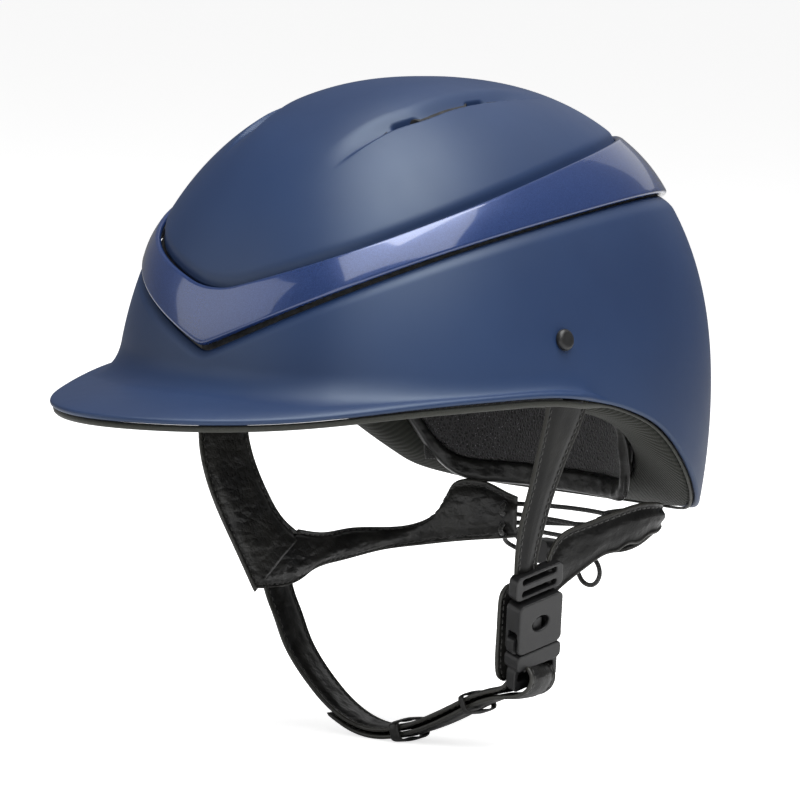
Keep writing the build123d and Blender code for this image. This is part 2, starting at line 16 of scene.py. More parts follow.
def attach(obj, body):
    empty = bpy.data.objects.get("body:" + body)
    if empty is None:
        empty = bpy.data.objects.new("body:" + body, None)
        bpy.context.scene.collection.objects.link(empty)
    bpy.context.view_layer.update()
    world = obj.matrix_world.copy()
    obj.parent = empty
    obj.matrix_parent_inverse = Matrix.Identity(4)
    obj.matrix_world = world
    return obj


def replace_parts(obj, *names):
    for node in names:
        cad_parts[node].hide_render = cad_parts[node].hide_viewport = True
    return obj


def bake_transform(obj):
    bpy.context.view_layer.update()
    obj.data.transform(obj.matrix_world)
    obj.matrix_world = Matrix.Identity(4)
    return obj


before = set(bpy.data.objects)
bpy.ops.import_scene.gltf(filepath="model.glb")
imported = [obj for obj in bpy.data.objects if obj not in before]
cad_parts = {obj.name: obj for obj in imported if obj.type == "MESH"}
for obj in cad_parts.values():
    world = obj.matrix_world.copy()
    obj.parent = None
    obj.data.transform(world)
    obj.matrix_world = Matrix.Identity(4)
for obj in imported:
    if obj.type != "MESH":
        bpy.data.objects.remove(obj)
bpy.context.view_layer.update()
MM = 0.001
HALVINGS = 40
RIPPLE_WAVES = 7


# --- Small mathematics ---------------------------------------------------------------------------
def smoothstep(value, low, high):
    """0 below low, 1 above high, and a smooth rise between."""
    share = np.clip((np.asarray(value, float) - low) / (high - low), 0.0, 1.0)
    return share * share * (3.0 - 2.0 * share)


def unit(vectors):
    """Vectors of length 1."""
    return vectors / np.maximum(np.linalg.norm(vectors, axis=-1, keepdims=True), 1e-9)


def natural_spline(knots, values):
    """A natural cubic spline through values at rising knots, as a function."""
    knots = np.array(knots, float)
    values = np.array(values, float)
    flat = values.reshape(len(knots), -1)
    gaps = np.diff(knots)
    system = np.eye(len(knots))
    bend = np.zeros_like(flat)
    for i in range(1, len(knots) - 1):
        system[i, i - 1:i + 2] = (gaps[i - 1], 2 * (gaps[i - 1] + gaps[i]), gaps[i])
        bend[i] = 6 * ((flat[i + 1] - flat[i]) / gaps[i] - (flat[i] - flat[i - 1]) / gaps[i - 1])
    bend = np.linalg.solve(system, bend)

    def at(where):
        where = np.clip(np.asarray(where, float), knots[0], knots[-1])
        cell = np.clip(np.searchsorted(knots, where) - 1, 0, len(knots) - 2)
        gap = gaps[cell][..., None]
        after = (where - knots[cell])[..., None]
        before = gap - after
        result = (bend[cell] * before**3 + bend[cell + 1] * after**3) / (6 * gap)
        result += (flat[cell] / gap - bend[cell] * gap / 6) * before
        result += (flat[cell + 1] / gap - bend[cell + 1] * gap / 6) * after
        return result.reshape(where.shape + values.shape[1:])

    return at


def circle(count):
    """Evenly spaced turns."""
    return np.linspace(0, 2 * pi, count, endpoint=False)


def between(low, high, shares):
    """Rows of values that run from low to high."""
    return low[:, None] + (high - low)[:, None] * shares


def swollen(shares, power):
    """0 at both ends and 1 in the middle, fuller with a higher power."""
    return np.sqrt(np.clip(1 - np.abs(2 * shares - 1) ** power, 0, 1))


def distances(points):
    """Distance of each point along a line of points."""
    return np.concatenate([[0.0], np.cumsum(np.linalg.norm(np.diff(points, axis=0), axis=1))])


def smooth_path(points):
    """A smooth curve through points, as a function of the share of its length, and that length."""
    points = np.array(points, float)
    along = distances(points)
    return natural_spline(along / along[-1], points), along[-1]


def bisect(test, low, high):
    """Where test turns from negative to positive, between arrays low and high."""
    low = np.array(low, float)
    high = np.array(high, float)
    for _ in range(HALVINGS):
        middle = (low + high) / 2
        above = test(middle) > 0
        high = np.where(above, middle, high)
        low = np.where(above, low, middle)
    return (low + high) / 2


def ripple(points, size, seed=0):
    """Gentle, repeatable unevenness from -1 to 1, with features about size millimetres wide."""
    turns = np.random.default_rng(seed).normal(size=(RIPPLE_WAVES, 3)) * 2.2 / size
    shifts = np.random.default_rng(seed + 1).uniform(0, 2 * pi, RIPPLE_WAVES)
    return np.sin(points @ turns.T + shifts).sum(-1) / 4.0


# --- Shape of the helmet, as in the frame --------------------------------------------------------
HALF_WIDTH, FRONT, REAR, HEIGHT = 108.0, 134.0, 137.0, 146.0
SQUARENESS = 2.7
PEAK_HALF_WIDTH, PEAK_REACH, PEAK_ROUNDNESS = 114.5, 198.0, 1.88
LIP = 3.4
SHELL_WALL = 2.6
LINER_SIDE, LINER_ENDS = 27.0, 33.0
HEADBAND_TOP = 34.0
DOME_LOW, DOME_HIGH = -66.0, 120.0      # levels on the dome are looked for between these
BAND_START = -110.0                     # Y from which the band's two levels are measured
V_RADIUS, U_RADIUS = 3.0, 60.0          # of the band's lower and upper edge at the front
LOW_LEVEL, LOW_SLOPE, LOW_SPREAD = 35.046, 0.20, 0.41
HIGH_LEVEL, HIGH_SLOPE, HIGH_SPREAD = 55.8, 0.28, 0.26
# Levels at places along Y. The headband's edge is higher at the sides than the frame's.
EDGE = [(-230, -1), (-175, 0.5), (-143, 3), (-101, 8), (-50, 12), (-18, 12.5), (0, 10.5), (20, 8),
        (35, 4), (49, -1.5), (62, -9.5), (75, -19.5), (86, -28.5), (97, -37), (109, -43.5), (125, -46.5),
        (150, -47)]
PEAK_TOP = [(-230, 2.4), (-200, 3.5), (-170, 6.5), (-143, 9.5), (-101, 13), (-50, 16), (20, 18)]
HEADBAND_EDGE = [(-150, 14), (-60, 13), (-20, 12), (10, 11), (35, 5), (50, 0), (62, -10), (73, -27),
                 (84, -41), (95, -43), (150, -44)]
edge_level = natural_spline(*zip(*EDGE))
peak_level = natural_spline(*zip(*PEAK_TOP))
headband_level = natural_spline(*zip(*HEADBAND_EDGE))


def fullness(height, base, top, power):
    """How wide a level section is, from 1 at the base to 0 at the crown."""
    rise = np.clip((height - base) / (top - base), 0.0, 1.0)
    return (1.0 - rise**power) ** (1.0 / power)


def tuck(height, start):
    """The shell draws in slightly below its widest level."""
    return 1.0 - 0.05 * (np.maximum(start - height, 0.0) / 60.0) ** 2


def squircle(turn, power):
    """Distance from the centre of a unit superellipse in direction turn."""
    return (np.abs(np.cos(turn)) ** power + np.abs(np.sin(turn)) ** power) ** (-1.0 / power)


def dome(turn, height, side_inset=0.0, end_inset=None):
    """Points of the helmet's outer form, inset by some millimetres. Turn 0 is the front."""
    end_inset = side_inset if end_inset is None else end_inset
    turn, height = np.broadcast_arrays(np.asarray(turn, float), np.asarray(height, float))
    top = HEIGHT - side_inset
    half = (HALF_WIDTH - side_inset) * fullness(height, -20.0, top, 2.18) * tuck(height, -20.0)
    front = (FRONT - end_inset) * fullness(height, -14.0, top, 2.43)
    rear = (REAR - end_inset) * fullness(height, 14.0, top, 2.26) * tuck(height, 14.0)
    reach = np.where(np.cos(turn) > 0, front, rear)
    spread = squircle(turn, SQUARENESS)
    lean = 6.0 * np.maximum(height / top, 0.0) ** 2
    return np.stack([half * spread * np.sin(turn), lean - reach * spread * np.cos(turn),
                     height * np.ones_like(half)], -1)


def dome_height(turn, level, side_inset=0.0, end_inset=None):
    """Height at which the dome crosses a level that depends on the point."""
    def above(height):
        return height - level(dome(turn, height, side_inset, end_inset))
    return bisect(above, np.full_like(turn, DOME_LOW), np.full_like(turn, DOME_HIGH))


def edge_at(point):
    """Level of the shell's lower edge."""
    return edge_level(point[..., 1])


def headband_at(point):
    """Level of the headband's lower edge."""
    return headband_level(point[..., 1])


def band_low(point):
    """Level of the trim band's lower edge: a V with a small radius at its point."""
    spread = np.sqrt(point[..., 0] ** 2 + V_RADIUS**2) - V_RADIUS
    return LOW_LEVEL + LOW_SLOPE * (point[..., 1] - BAND_START) + LOW_SPREAD * spread


def band_high(point):
    """Level of the trim band's upper edge: a wide smooth U."""
    spread = np.abs(point[..., 0])
    lean = atan(HIGH_SPREAD)
    bowl = U_RADIUS / cos(lean) - np.sqrt(U_RADIUS**2 - np.minimum(spread, 20) ** 2)
    rise = np.where(spread < U_RADIUS * sin(lean), bowl, HIGH_SPREAD * spread)
    return HIGH_LEVEL + HIGH_SLOPE * (point[..., 1] - BAND_START) + rise


COLUMNS = 480
CROWN_ROWS = 190
ring = circle(COLUMNS)


# --- Meshes --------------------------------------------------------------------------------------
def add_object(name, data):
    """A new object in the scene."""
    item = bpy.data.objects.new(name, data)
    bpy.context.scene.collection.objects.link(item)
    return item


def finish_piece(name, vertices, faces, materials, body=None, stands_for=(), uv=None,
                 face_slots=None, edge_highlight=None):
    """A mesh object in metres, shaded smooth, that rides on its body and stands for CAD nodes."""
    mesh = bpy.data.meshes.new(name)
    mesh.from_pydata((np.asarray(vertices, float) * MM).tolist(), [], faces)
    for material in materials:
        mesh.materials.append(material)
    if face_slots is not None:
        mesh.polygons.foreach_set("material_index", np.asarray(face_slots, np.int32))
    if uv is not None:
        layer = mesh.uv_layers.new(name="UVMap")
        corners = np.zeros(len(mesh.loops), np.int32)
        mesh.loops.foreach_get("vertex_index", corners)
        layer.data.foreach_set("uv", (np.asarray(uv, float)[corners] * MM).astype(np.float32).ravel())
    if edge_highlight is not None:
        # The edge attribute carries the painted edge highlight of the leather straps.
        layer = mesh.attributes.new("edge", "FLOAT", "POINT")
        layer.data.foreach_set("value", np.asarray(edge_highlight, np.float32))
    mesh.validate()
    work = bmesh.new()
    work.from_mesh(mesh)
    bmesh.ops.recalc_face_normals(work, faces=work.faces)
    work.to_mesh(mesh)
    work.free()
    mesh.polygons.foreach_set("use_smooth", np.ones(len(mesh.polygons), bool))
    piece = add_object(name, mesh)
    if body:
        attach(piece, body)
    if stands_for:
        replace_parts(piece, *stands_for)
    return piece


def grid_faces(rows, columns, close_rows=False, close_columns=False, start=0):
    """Quads of a grid whose vertices run column by column inside each row."""
    faces = []
    for i in range(rows if close_rows else rows - 1):
        for j in range(columns if close_columns else columns - 1):
            after_i = (i + 1) % rows
            after_j = (j + 1) % columns
            faces.append((start + i * columns + j, start + i * columns + after_j,
                          start + after_i * columns + after_j, start + after_i * columns + j))
    return faces


def closed_profiles(one, other):
    """Two grids that share their first and last columns, joined into closed profiles."""
    return np.concatenate([one, other[:, -2:0:-1]], 1)


def grid_lengths(grid):
    """Distance along each axis of a grid of points, as flat texture coordinates."""
    across = np.zeros(grid.shape[:2])
    across[:, 1:] = np.cumsum(np.linalg.norm(np.diff(grid, axis=1), axis=2), axis=1)
    along = np.zeros(grid.shape[:2])
    steps = np.linalg.norm(np.diff(grid, axis=0), axis=2).mean(axis=1)
    along[1:] = np.cumsum(steps)[:, None]
    return np.stack([along, across], -1).reshape(-1, 2)


def ring_piece(name, loops, material, body="helmet", stands_for=()):
    """A closed ring: loops[i] is the closed profile at place i round it."""
    faces = grid_faces(*loops.shape[:2], True, True)
    return finish_piece(name, loops.reshape(-1, 3), faces, [material], body, stands_for,
                        grid_lengths(loops))


def surface_normals(grid):
    """Unit normals of a grid of points that is closed along its first axis."""
    along = np.roll(grid, -1, 0) - np.roll(grid, 1, 0)
    return unit(np.cross(along, np.gradient(grid, axis=1)))


def outward_normals(grid):
    """Unit normals of a closed grid that face away from the origin."""
    normals = surface_normals(grid)
    return normals * np.sign((grid * normals).sum(-1, keepdims=True))


def wall_loops(outer, thickness, inward=(0, 0, 0)):
    """Closed profiles of a wall: the outer grid, a rounded edge, the inner side, a rounded edge.

    Inward is a point well inside, which tells the two sides of the grid apart."""
    normals = surface_normals(outer)
    facing = np.sign(((np.asarray(inward) - outer) * normals).sum(-1, keepdims=True))
    inner = outer + normals * np.where(facing == 0, 1, facing) * thickness
    caps = []
    for edge, before, first, last in ((-1, -2, 0, pi), (0, 1, pi, 0)):
        heading = unit(outer[:, edge] - outer[:, before])
        middle = (outer[:, edge] + inner[:, edge]) / 2
        cap = [middle + (outer[:, edge] - middle) * cos(turn) + heading * (thickness / 2) * sin(turn)
               for turn in np.linspace(first, last, 9)[1:-1]]
        caps.append(np.stack(cap, 1))
    return np.concatenate([outer, caps[0], inner[:, ::-1], caps[1]], 1)


# --- Materials -----------------------------------------------------------------------------------
class Nodes:
    """A procedural material under construction."""

    def __init__(self, name, roughness, **sockets):
        self.material = bpy.data.materials.new(name)
        self.material.use_nodes = True
        self.tree = self.material.node_tree
        self.shader = self.tree.nodes["Principled BSDF"]
        self.shader.inputs["Roughness"].default_value = roughness
        for socket, value in sockets.items():
            self.shader.inputs[socket.replace("_", " ")].default_value = value
        self.place = self.add("TexCoord", "Object")

    def add(self, kind, output, inputs=None, **settings):
        """One output of a new node, whose inputs take values or other nodes' outputs."""
        node = self.tree.nodes.new("ShaderNode" + kind)
        for key, value in settings.items():
            setattr(node, key, value)
        for key, value in (inputs or {}).items():
            if isinstance(value, bpy.types.NodeSocket):
                self.tree.links.new(value, node.inputs[key])
            else:
                node.inputs[key].default_value = value
        return node.outputs[output]

    def noise(self, scale, detail=3.0, stretch=None):
        """Noise with features about 1 / scale metres wide."""
        return self.add("TexNoise", "Fac", {"Scale": scale, "Detail": detail,
                                            "Vector": self.stretched(stretch)})

    def cells(self, scale, feature="F1", stretch=None, output="Distance"):
        """Voronoi cells about 1 / scale metres wide."""
        return self.add("TexVoronoi", output, {"Scale": scale, "Vector": self.stretched(stretch)},
                        feature=feature)

    def bands(self, scale, direction="X", place=None, distortion=0.0):
        """Sine bands, scale / 0.31 of them in a metre."""
        return self.add("TexWave", "Fac", {"Scale": scale, "Distortion": distortion,
                                           "Vector": place or self.place}, bands_direction=direction)

    def flat_place(self):
        """Distances along and across the piece, in metres."""
        return self.add("UVMap", "UV")

    def stretched(self, stretch):
        """The place on the object, scaled along each axis."""
        if stretch is None:
            return self.place
        return self.add("Mapping", "Vector", {"Scale": stretch, "Vector": self.place})

    def ramp(self, source, low, high, low_at=0.0, high_at=1.0):
        """Source turned into a colour between low and high."""
        colour = self.add("ValToRGB", "Color", {"Fac": source})
        for stop, tone, place in zip(colour.node.color_ramp.elements, (low, high), (low_at, high_at)):
            stop.position = place
            stop.color = (*tone, 1)
        return colour

    def mix(self, share, first, second):
        """First turned towards the colour second by a share."""
        return self.add("Mix", 2, {"Factor": share, 6: first, 7: (*second, 1)}, data_type="RGBA")

    def maths(self, operation, first, second):
        return self.add("Math", 0, {0: first, 1: second}, operation=operation)

    def range(self, source, low, high):
        return self.add("MapRange", "Result", {"Value": source, "To Min": low, "To Max": high})

    def mark(self):
        """How near the edge of a strap is, which places the painted edge highlight."""
        return self.add("Attribute", "Fac", attribute_name="edge")

    def colour(self, source):
        self.tree.links.new(source, self.shader.inputs["Base Color"])

    def roughness(self, source):
        self.tree.links.new(source, self.shader.inputs["Roughness"])

    def bump(self, *layers):
        """Layers of (height source, depth in metres)."""
        before = {}
        for source, depth in layers:
            before = {"Normal": self.add("Bump", "Normal", {"Height": source, "Distance": depth,
                                                            "Strength": 1.0, **before})}
        self.tree.links.new(before["Normal"], self.shader.inputs["Normal"])


def grey(level):
    """A neutral colour."""
    return (level, level, level)


def one_pattern(name, roughness, pattern, low, high, depth, span=(0.0, 1.0), **sockets):
    """A material whose colour and relief both follow one pattern of its nodes."""
    nodes = Nodes(name, roughness, **sockets)
    source = pattern(nodes)
    nodes.colour(nodes.ramp(source, low, high, *span))
    nodes.bump((source, depth))
    return nodes.material


def crossed(scale, first, second):
    """A weave of bands in two directions, as a pattern."""
    return lambda nodes: nodes.maths("MULTIPLY", nodes.bands(scale, first), nodes.bands(scale, second))


def braided(nodes):
    """Two sets of slanting bands, as a pattern."""
    return nodes.maths("MAXIMUM", nodes.bands(260, "DIAGONAL"), nodes.bands(300, "Z", distortion=2.0))


def shell_paint():
    """Matte navy paint with a very fine texture."""
    paint = Nodes("shell_paint", 0.5, Specular_IOR_Level=0.54, Specular_Tint=(0.80, 0.92, 1.0, 1.0))
    cloudy = paint.noise(14, 2)
    paint.colour(paint.ramp(cloudy, (0.0060, 0.0180, 0.060), (0.0084, 0.0240, 0.075), 0.3, 0.7))
    paint.roughness(paint.range(paint.noise(90, 4), 0.45, 0.52))
    paint.bump((paint.noise(5200, 2), 0.000012), (paint.noise(900, 2), 0.000006))
    return paint.material


def band_lacquer():
    """Gloss navy lacquer with fine flakes under a clear coat."""
    lacquer = Nodes("band_lacquer", 0.24, Metallic=0.35, Coat_Weight=1.0, Coat_Roughness=0.07)
    flakes = lacquer.cells(4200, output="Color")
    shine = lacquer.add("SeparateColor", 0, {0: flakes})
    lacquer.colour(lacquer.ramp(shine, (0.008, 0.026, 0.105), (0.020, 0.048, 0.165), 0.2, 1.0))
    lacquer.roughness(lacquer.range(lacquer.noise(40, 2), 0.24, 0.34))
    lacquer.bump((lacquer.noise(60, 1), 0.00002))
    return lacquer.material


def black_leather(name, painted_light_scale, relief, shine=0.42):
    """Soft black leather: broad creases, a pebble grain and a painted highlight that turns the edges grey.
    """
    leather = Nodes(name, 0.36, Specular_IOR_Level=shine)
    grain = leather.cells(1300, "SMOOTH_F1")
    creases = leather.noise(75, 5)
    pulls = leather.cells(120, "DISTANCE_TO_EDGE", stretch=(1.0, 1.0, 1.8))
    # The tone scale makes lighter and darker copies of one leather: painted light and painted shade.
    low, high = (tuple(painted_light_scale * value for value in tone)
                 for tone in (grey(0.0050), (0.0125, 0.0122, 0.0110)))
    tone = leather.ramp(leather.noise(60, 4), low, high, 0.35, 0.75)
    # Painted highlight: the colour turns grey near a strap's edges.
    leather.colour(leather.mix(leather.mark(), tone, (0.050, 0.049, 0.042)))
    leather.roughness(leather.range(leather.noise(160, 4), 0.24, 0.48))
    leather.bump((grain, 0.00005), (creases, 0.0016 * relief), (pulls, 0.00030 * relief))
    return leather.material


def piping_cloth():
    """Smooth olive-grey binding with a faint weave."""
    binding = Nodes("piping_cloth", 0.6, Specular_IOR_Level=0.3, Sheen_Weight=0.1)
    weave = binding.noise(1500, 3)
    binding.colour(binding.ramp(weave, (0.016, 0.017, 0.013), (0.030, 0.031, 0.025), 0.3, 0.7))
    binding.bump((weave, 0.00006), (binding.noise(160, 3), 0.0003))
    return binding.material


def mesh_fabric():
    """Black spacer mesh: small open cells in a knitted face."""
    mesh = Nodes("mesh_fabric", 0.75, Sheen_Weight=0.25)
    holes = mesh.cells(760, "DISTANCE_TO_EDGE", stretch=(1.0, 1.0, 0.7))
    yarn = mesh.noise(4200, 2)
    net = mesh.ramp(holes, (0.026, 0.025, 0.027), grey(0.004), 0.06, 0.24)
    glint = mesh.ramp(mesh.noise(1900, 0), grey(0.0), grey(1.0), 0.74, 0.80)
    mesh.colour(mesh.mix(glint, net, (0.20, 0.19, 0.21)))
    mesh.bump((mesh.maths("MULTIPLY", holes, -1.0), 0.0010), (yarn, 0.00008))
    return mesh.material


def ribbed_fabric():
    """Grey-olive cloth woven in slanting ribs."""
    ribs = Nodes("ribbed_fabric", 0.8, Specular_IOR_Level=0.25, Sheen_Weight=0.05)
    place = ribs.flat_place()
    rib = ribs.bands(185, "DIAGONAL", place, 1.2)
    cross = ribs.bands(420, "Y", place)
    wear_and_edge_sheen = ribs.noise(45, 3)
    base = ribs.ramp(rib, (0.008, 0.009, 0.0065), (0.018, 0.019, 0.0145), 0.1, 0.9)
    ribs.colour(ribs.mix(ribs.range(wear_and_edge_sheen, 0.1, 0.7), base, (0.013, 0.014, 0.0105)))
    ribs.bump((rib, 0.00022), (cross, 0.00008))
    return ribs.material


def moulded_plastic():
    """Black moulded nylon with a fine spark texture."""
    plastic = Nodes("moulded_plastic", 0.42, Specular_IOR_Level=0.4)
    plastic.colour(plastic.ramp(plastic.noise(180, 3), (0.0065, 0.0065, 0.0070), (0.014, 0.014, 0.0145)))
    plastic.roughness(plastic.range(plastic.noise(700, 3), 0.28, 0.46))
    plastic.bump((plastic.noise(3800, 2), 0.00004), (plastic.noise(220, 2), 0.00005))
    return plastic.material


def bead_foam():
    """Black expanded bead foam."""
    foam = Nodes("bead_foam", 0.85)
    beads = foam.cells(330)
    foam.colour(foam.ramp(beads, (0.022, 0.022, 0.023), grey(0.006), 0.1, 0.8))
    foam.bump((foam.maths("MULTIPLY", beads, -1.0), 0.0006))
    return foam.material


def black_metal():
    """Blackened metal with fine brushing."""
    metal = Nodes("black_metal", 0.34, Metallic=0.85)
    brushed = metal.noise(900, 3, stretch=(1.0, 1.0, 9.0))
    metal.colour(metal.ramp(brushed, (0.010, 0.010, 0.011), (0.030, 0.030, 0.032)))
    metal.roughness(metal.range(brushed, 0.26, 0.42))
    metal.bump((brushed, 0.00002))
    return metal.material


def steel():
    """Plain zinc-coated steel."""
    metal = Nodes("zinc_steel", 0.35, Metallic=1.0)
    metal.colour(metal.ramp(metal.cells(260), (0.42, 0.43, 0.45), (0.60, 0.61, 0.62)))
    metal.bump((metal.noise(1800, 3), 0.00002))
    return metal.material


NAVY = shell_paint()
PIPING = piping_cloth()
LINING_CLOTH = one_pattern("lining_cloth", 0.85, crossed(380, "X", "Y"), grey(0.005),
                           (0.020, 0.020, 0.019), 0.0002, Sheen_Weight=0.2)
GLOSS = band_lacquer()
LEATHER = black_leather("black_leather", 1.0, 1.0)
# A lighter copy of the same leather: painted light on the far side's padded straps.
PUFFED_LIT_LEATHER = black_leather("puffed_lit_leather", 2.3, 1.6)
# A darker copy of the same leather: painted shade on the near nape panel.
SHADED_LEATHER = black_leather("shaded_leather", 0.35, 1.0, 0.22)
# A smoother, less shiny copy, a little darker as painted shade on the near front strap.
PLAIN_SHADED_LEATHER = black_leather("plain_shaded_leather", 0.9, 0.3, 0.16)
MESH = mesh_fabric()
RIBBED = ribbed_fabric()
WEBBING = one_pattern("webbing_fabric", 0.7, crossed(330, "Y", "Z"), grey(0.006), (0.030, 0.030, 0.028),
                      0.0003, Sheen_Weight=0.2)
PLASTIC = moulded_plastic()
FOAM = bead_foam()
PILE = one_pattern("loop_pile", 0.95, lambda nodes: nodes.noise(2600, 6), grey(0.006), grey(0.04), 0.0005,
                   (0.3, 0.8), Sheen_Weight=0.5)
METAL = black_metal()
STEEL = steel()
CORD = one_pattern("braided_cord", 0.6, braided, grey(0.004), (0.034, 0.034, 0.032), 0.0002,
                   Sheen_Weight=0.25)
THREAD = one_pattern("sewing_thread", 0.55, lambda nodes: nodes.bands(900, "DIAGONAL"),
                     (0.012, 0.012, 0.011), (0.036, 0.035, 0.031), 0.0001, Sheen_Weight=0.2)


# --- Camera, light and floor ---------------------------------------------------------------------
CAMERA_TURN, CAMERA_RISE, CAMERA_ROLL = radians(44.57), radians(5.24), radians(-2.67)
CAMERA_DISTANCE = 3.16
CAMERA_LENS = 318.5
CAMERA_SHIFT = (-0.016, 0.004)
FLOOR = -0.1525
FLOOR_HALF = 9
WORLD_SEEN, WORLD_LIT = 0.98, 0.21      # the surrounding as the camera sees it, and as it lights

# Name, place, the point it faces, size in metres and watts.
LIGHTS = [
    ("overhead", (0.25, 0.05, 1.9), (0, 0, 0.08), (1.5, 1.7), 46),
    ("key", (1.1, -0.42, 1.62), (0, 0, 0.08), (2.6, 1.8), 46),
    ("front", (-1.3, -1.9, 0.8), (0, 0, 0.05), (1.8, 1.4), 10),
    ("behind", (-0.6, 1.9, 1.2), (0, 0, 0.05), (1.4, 1.2), 2.8),
    ("low fill", (1.5, -1.7, 0.1), (-0.07, -0.02, -0.08), (0.7, 0.5), 2.0),
]


def add_camera():
    """A long lens at the height of the helmet, a little above its edge."""
    back = Vector((sin(CAMERA_TURN) * cos(CAMERA_RISE), -cos(CAMERA_TURN) * cos(CAMERA_RISE),
                   sin(CAMERA_RISE)))
    right = Vector((cos(CAMERA_TURN), sin(CAMERA_TURN), 0))
    up = back.cross(right)
    across = cos(CAMERA_ROLL) * right - sin(CAMERA_ROLL) * up
    upward = sin(CAMERA_ROLL) * right + cos(CAMERA_ROLL) * up
    camera = add_object("camera", bpy.data.cameras.new("camera"))
    camera.matrix_world = Matrix.Translation(back * CAMERA_DISTANCE) @ Matrix(
        (across, upward, back)).transposed().to_4x4()
    camera.data.lens = CAMERA_LENS
    camera.data.sensor_width = 36.0
    camera.data.shift_x, camera.data.shift_y = CAMERA_SHIFT
    camera.data.clip_end = 20.0
    bpy.context.scene.camera = camera


def add_light(name, place, aim, size, energy):
    """A soft box at place that points at aim."""
    lamp = bpy.data.lights.new(name, "AREA")
    lamp.shape = "RECTANGLE"
    lamp.size, lamp.size_y = size
    lamp.energy = energy
    box = add_object(name, lamp)
    box.location = place
    box.rotation_euler = (Vector(aim) - Vector(place)).to_track_quat("-Z", "Y").to_euler()


def add_stage():
    """A pale floor and an even pale surrounding."""
    paper = Nodes("floor_paper", 0.9, Emission_Strength=0.75)
    tone = paper.ramp(paper.noise(30, 4), grey(0.84), grey(0.88))
    paper.colour(tone)
    seen = paper.add("LightPath", "Is Camera Ray")
    paper.tree.links.new(seen, paper.shader.inputs["Emission Color"])
    paper.bump((paper.noise(800, 3), 0.00005))
    mesh = bpy.data.meshes.new("floor")
    corners = ((-1, -1), (1, -1), (1, 1), (-1, 1))
    mesh.from_pydata([(x * FLOOR_HALF, y * FLOOR_HALF, FLOOR) for x, y in corners], [], [(0, 1, 2, 3)])
    mesh.materials.append(paper.material)
    add_object("floor", mesh)
    world = bpy.data.worlds.new("studio")
    world.use_nodes = True
    tree = world.node_tree
    seen = tree.nodes["Background"]
    lit = tree.nodes.new("ShaderNodeBackground")
    for node, strength in ((seen, WORLD_SEEN), (lit, WORLD_LIT)):
        node.inputs["Color"].default_value = (1, 1, 1, 1)
        node.inputs["Strength"].default_value = strength
    chooser = tree.nodes.new("ShaderNodeMixShader")
    tree.links.new(tree.nodes.new("ShaderNodeLightPath").outputs["Is Camera Ray"], chooser.inputs[0])
    tree.links.new(lit.outputs[0], chooser.inputs[1])
    tree.links.new(seen.outputs[0], chooser.inputs[2])
    tree.links.new(chooser.outputs[0], tree.nodes["World Output"].inputs["Surface"])
    bpy.context.scene.world = world
    bpy.context.scene.view_settings.view_transform = "Standard"


add_camera()
add_stage()
for light in LIGHTS:
    add_light(*light)


# --- Shells --------------------------------------------------------------------------------------
FILLET = 12.0               # concave curve where the peak leaves the dome
GAP_BELOW_BAND = 3.9        # open joint under the trim band
TOP_ROLL = 1.9              # the lower shell's upper edge turns inwards by this much
ROLL_REACH = 5.0            # and starts to turn this far below it
BAND_PROUD, BAND_CROWNING = 1.5, 0.5
WALL_ROWS, BEND_ROWS, BRIM_ROWS = 56, 14, 22


def plan_normals(turn):
    """Outward directions, level, square to the dome's outline."""
    outline = dome(turn, 0.0)
    spread = np.abs(outline[:, :2]) / np.where(np.cos(turn) > 0, FRONT, REAR)[:, None]
    spread[:, 0] = np.abs(outline[:, 0]) / HALF_WIDTH
    scale = np.stack([np.full_like(turn, HALF_WIDTH), np.where(np.cos(turn) > 0, FRONT, REAR)], 1)
    slope = np.sign(outline[:, :2]) * spread ** (SQUARENESS - 1) / scale
    return np.concatenate([unit(slope), np.zeros((len(turn), 1))], 1)


def flange_reach(turn, base, outward):
    """How far the peak's edge stands out from the dome, fading to nothing behind the rivets."""
    def outside(reach):
        point = base + outward * reach[:, None]
        share = np.abs(point[:, 0] / PEAK_HALF_WIDTH) ** PEAK_ROUNDNESS
        return share + np.abs(np.minimum(point[:, 1], 0) / PEAK_REACH) ** PEAK_ROUNDNESS - 1
    reach = bisect(outside, np.zeros_like(turn), np.full_like(turn, 90.0))
    return reach * (1 - smoothstep(base[:, 1], -22, 28))


def rim_of(turns):
    """The shell's lower edge: its heights, its points, outward directions and the peak's reach there."""
    rim = dome_height(turns, edge_at)
    base = dome(turns, rim)
    outward = plan_normals(turns)
    return rim, base, outward, flange_reach(turns, base, outward)


def bezier(a, b, c, d, steps):
    """A cubic curve for every row of a, b, c and d."""
    t = np.linspace(0, 1, steps)[None, :, None]
    a, b, c, d = (p[:, None, :] for p in (a, b, c, d))
    return a * (1 - t) ** 3 + 3 * b * t * (1 - t) ** 2 + 3 * c * t**2 * (1 - t) + d * t**3


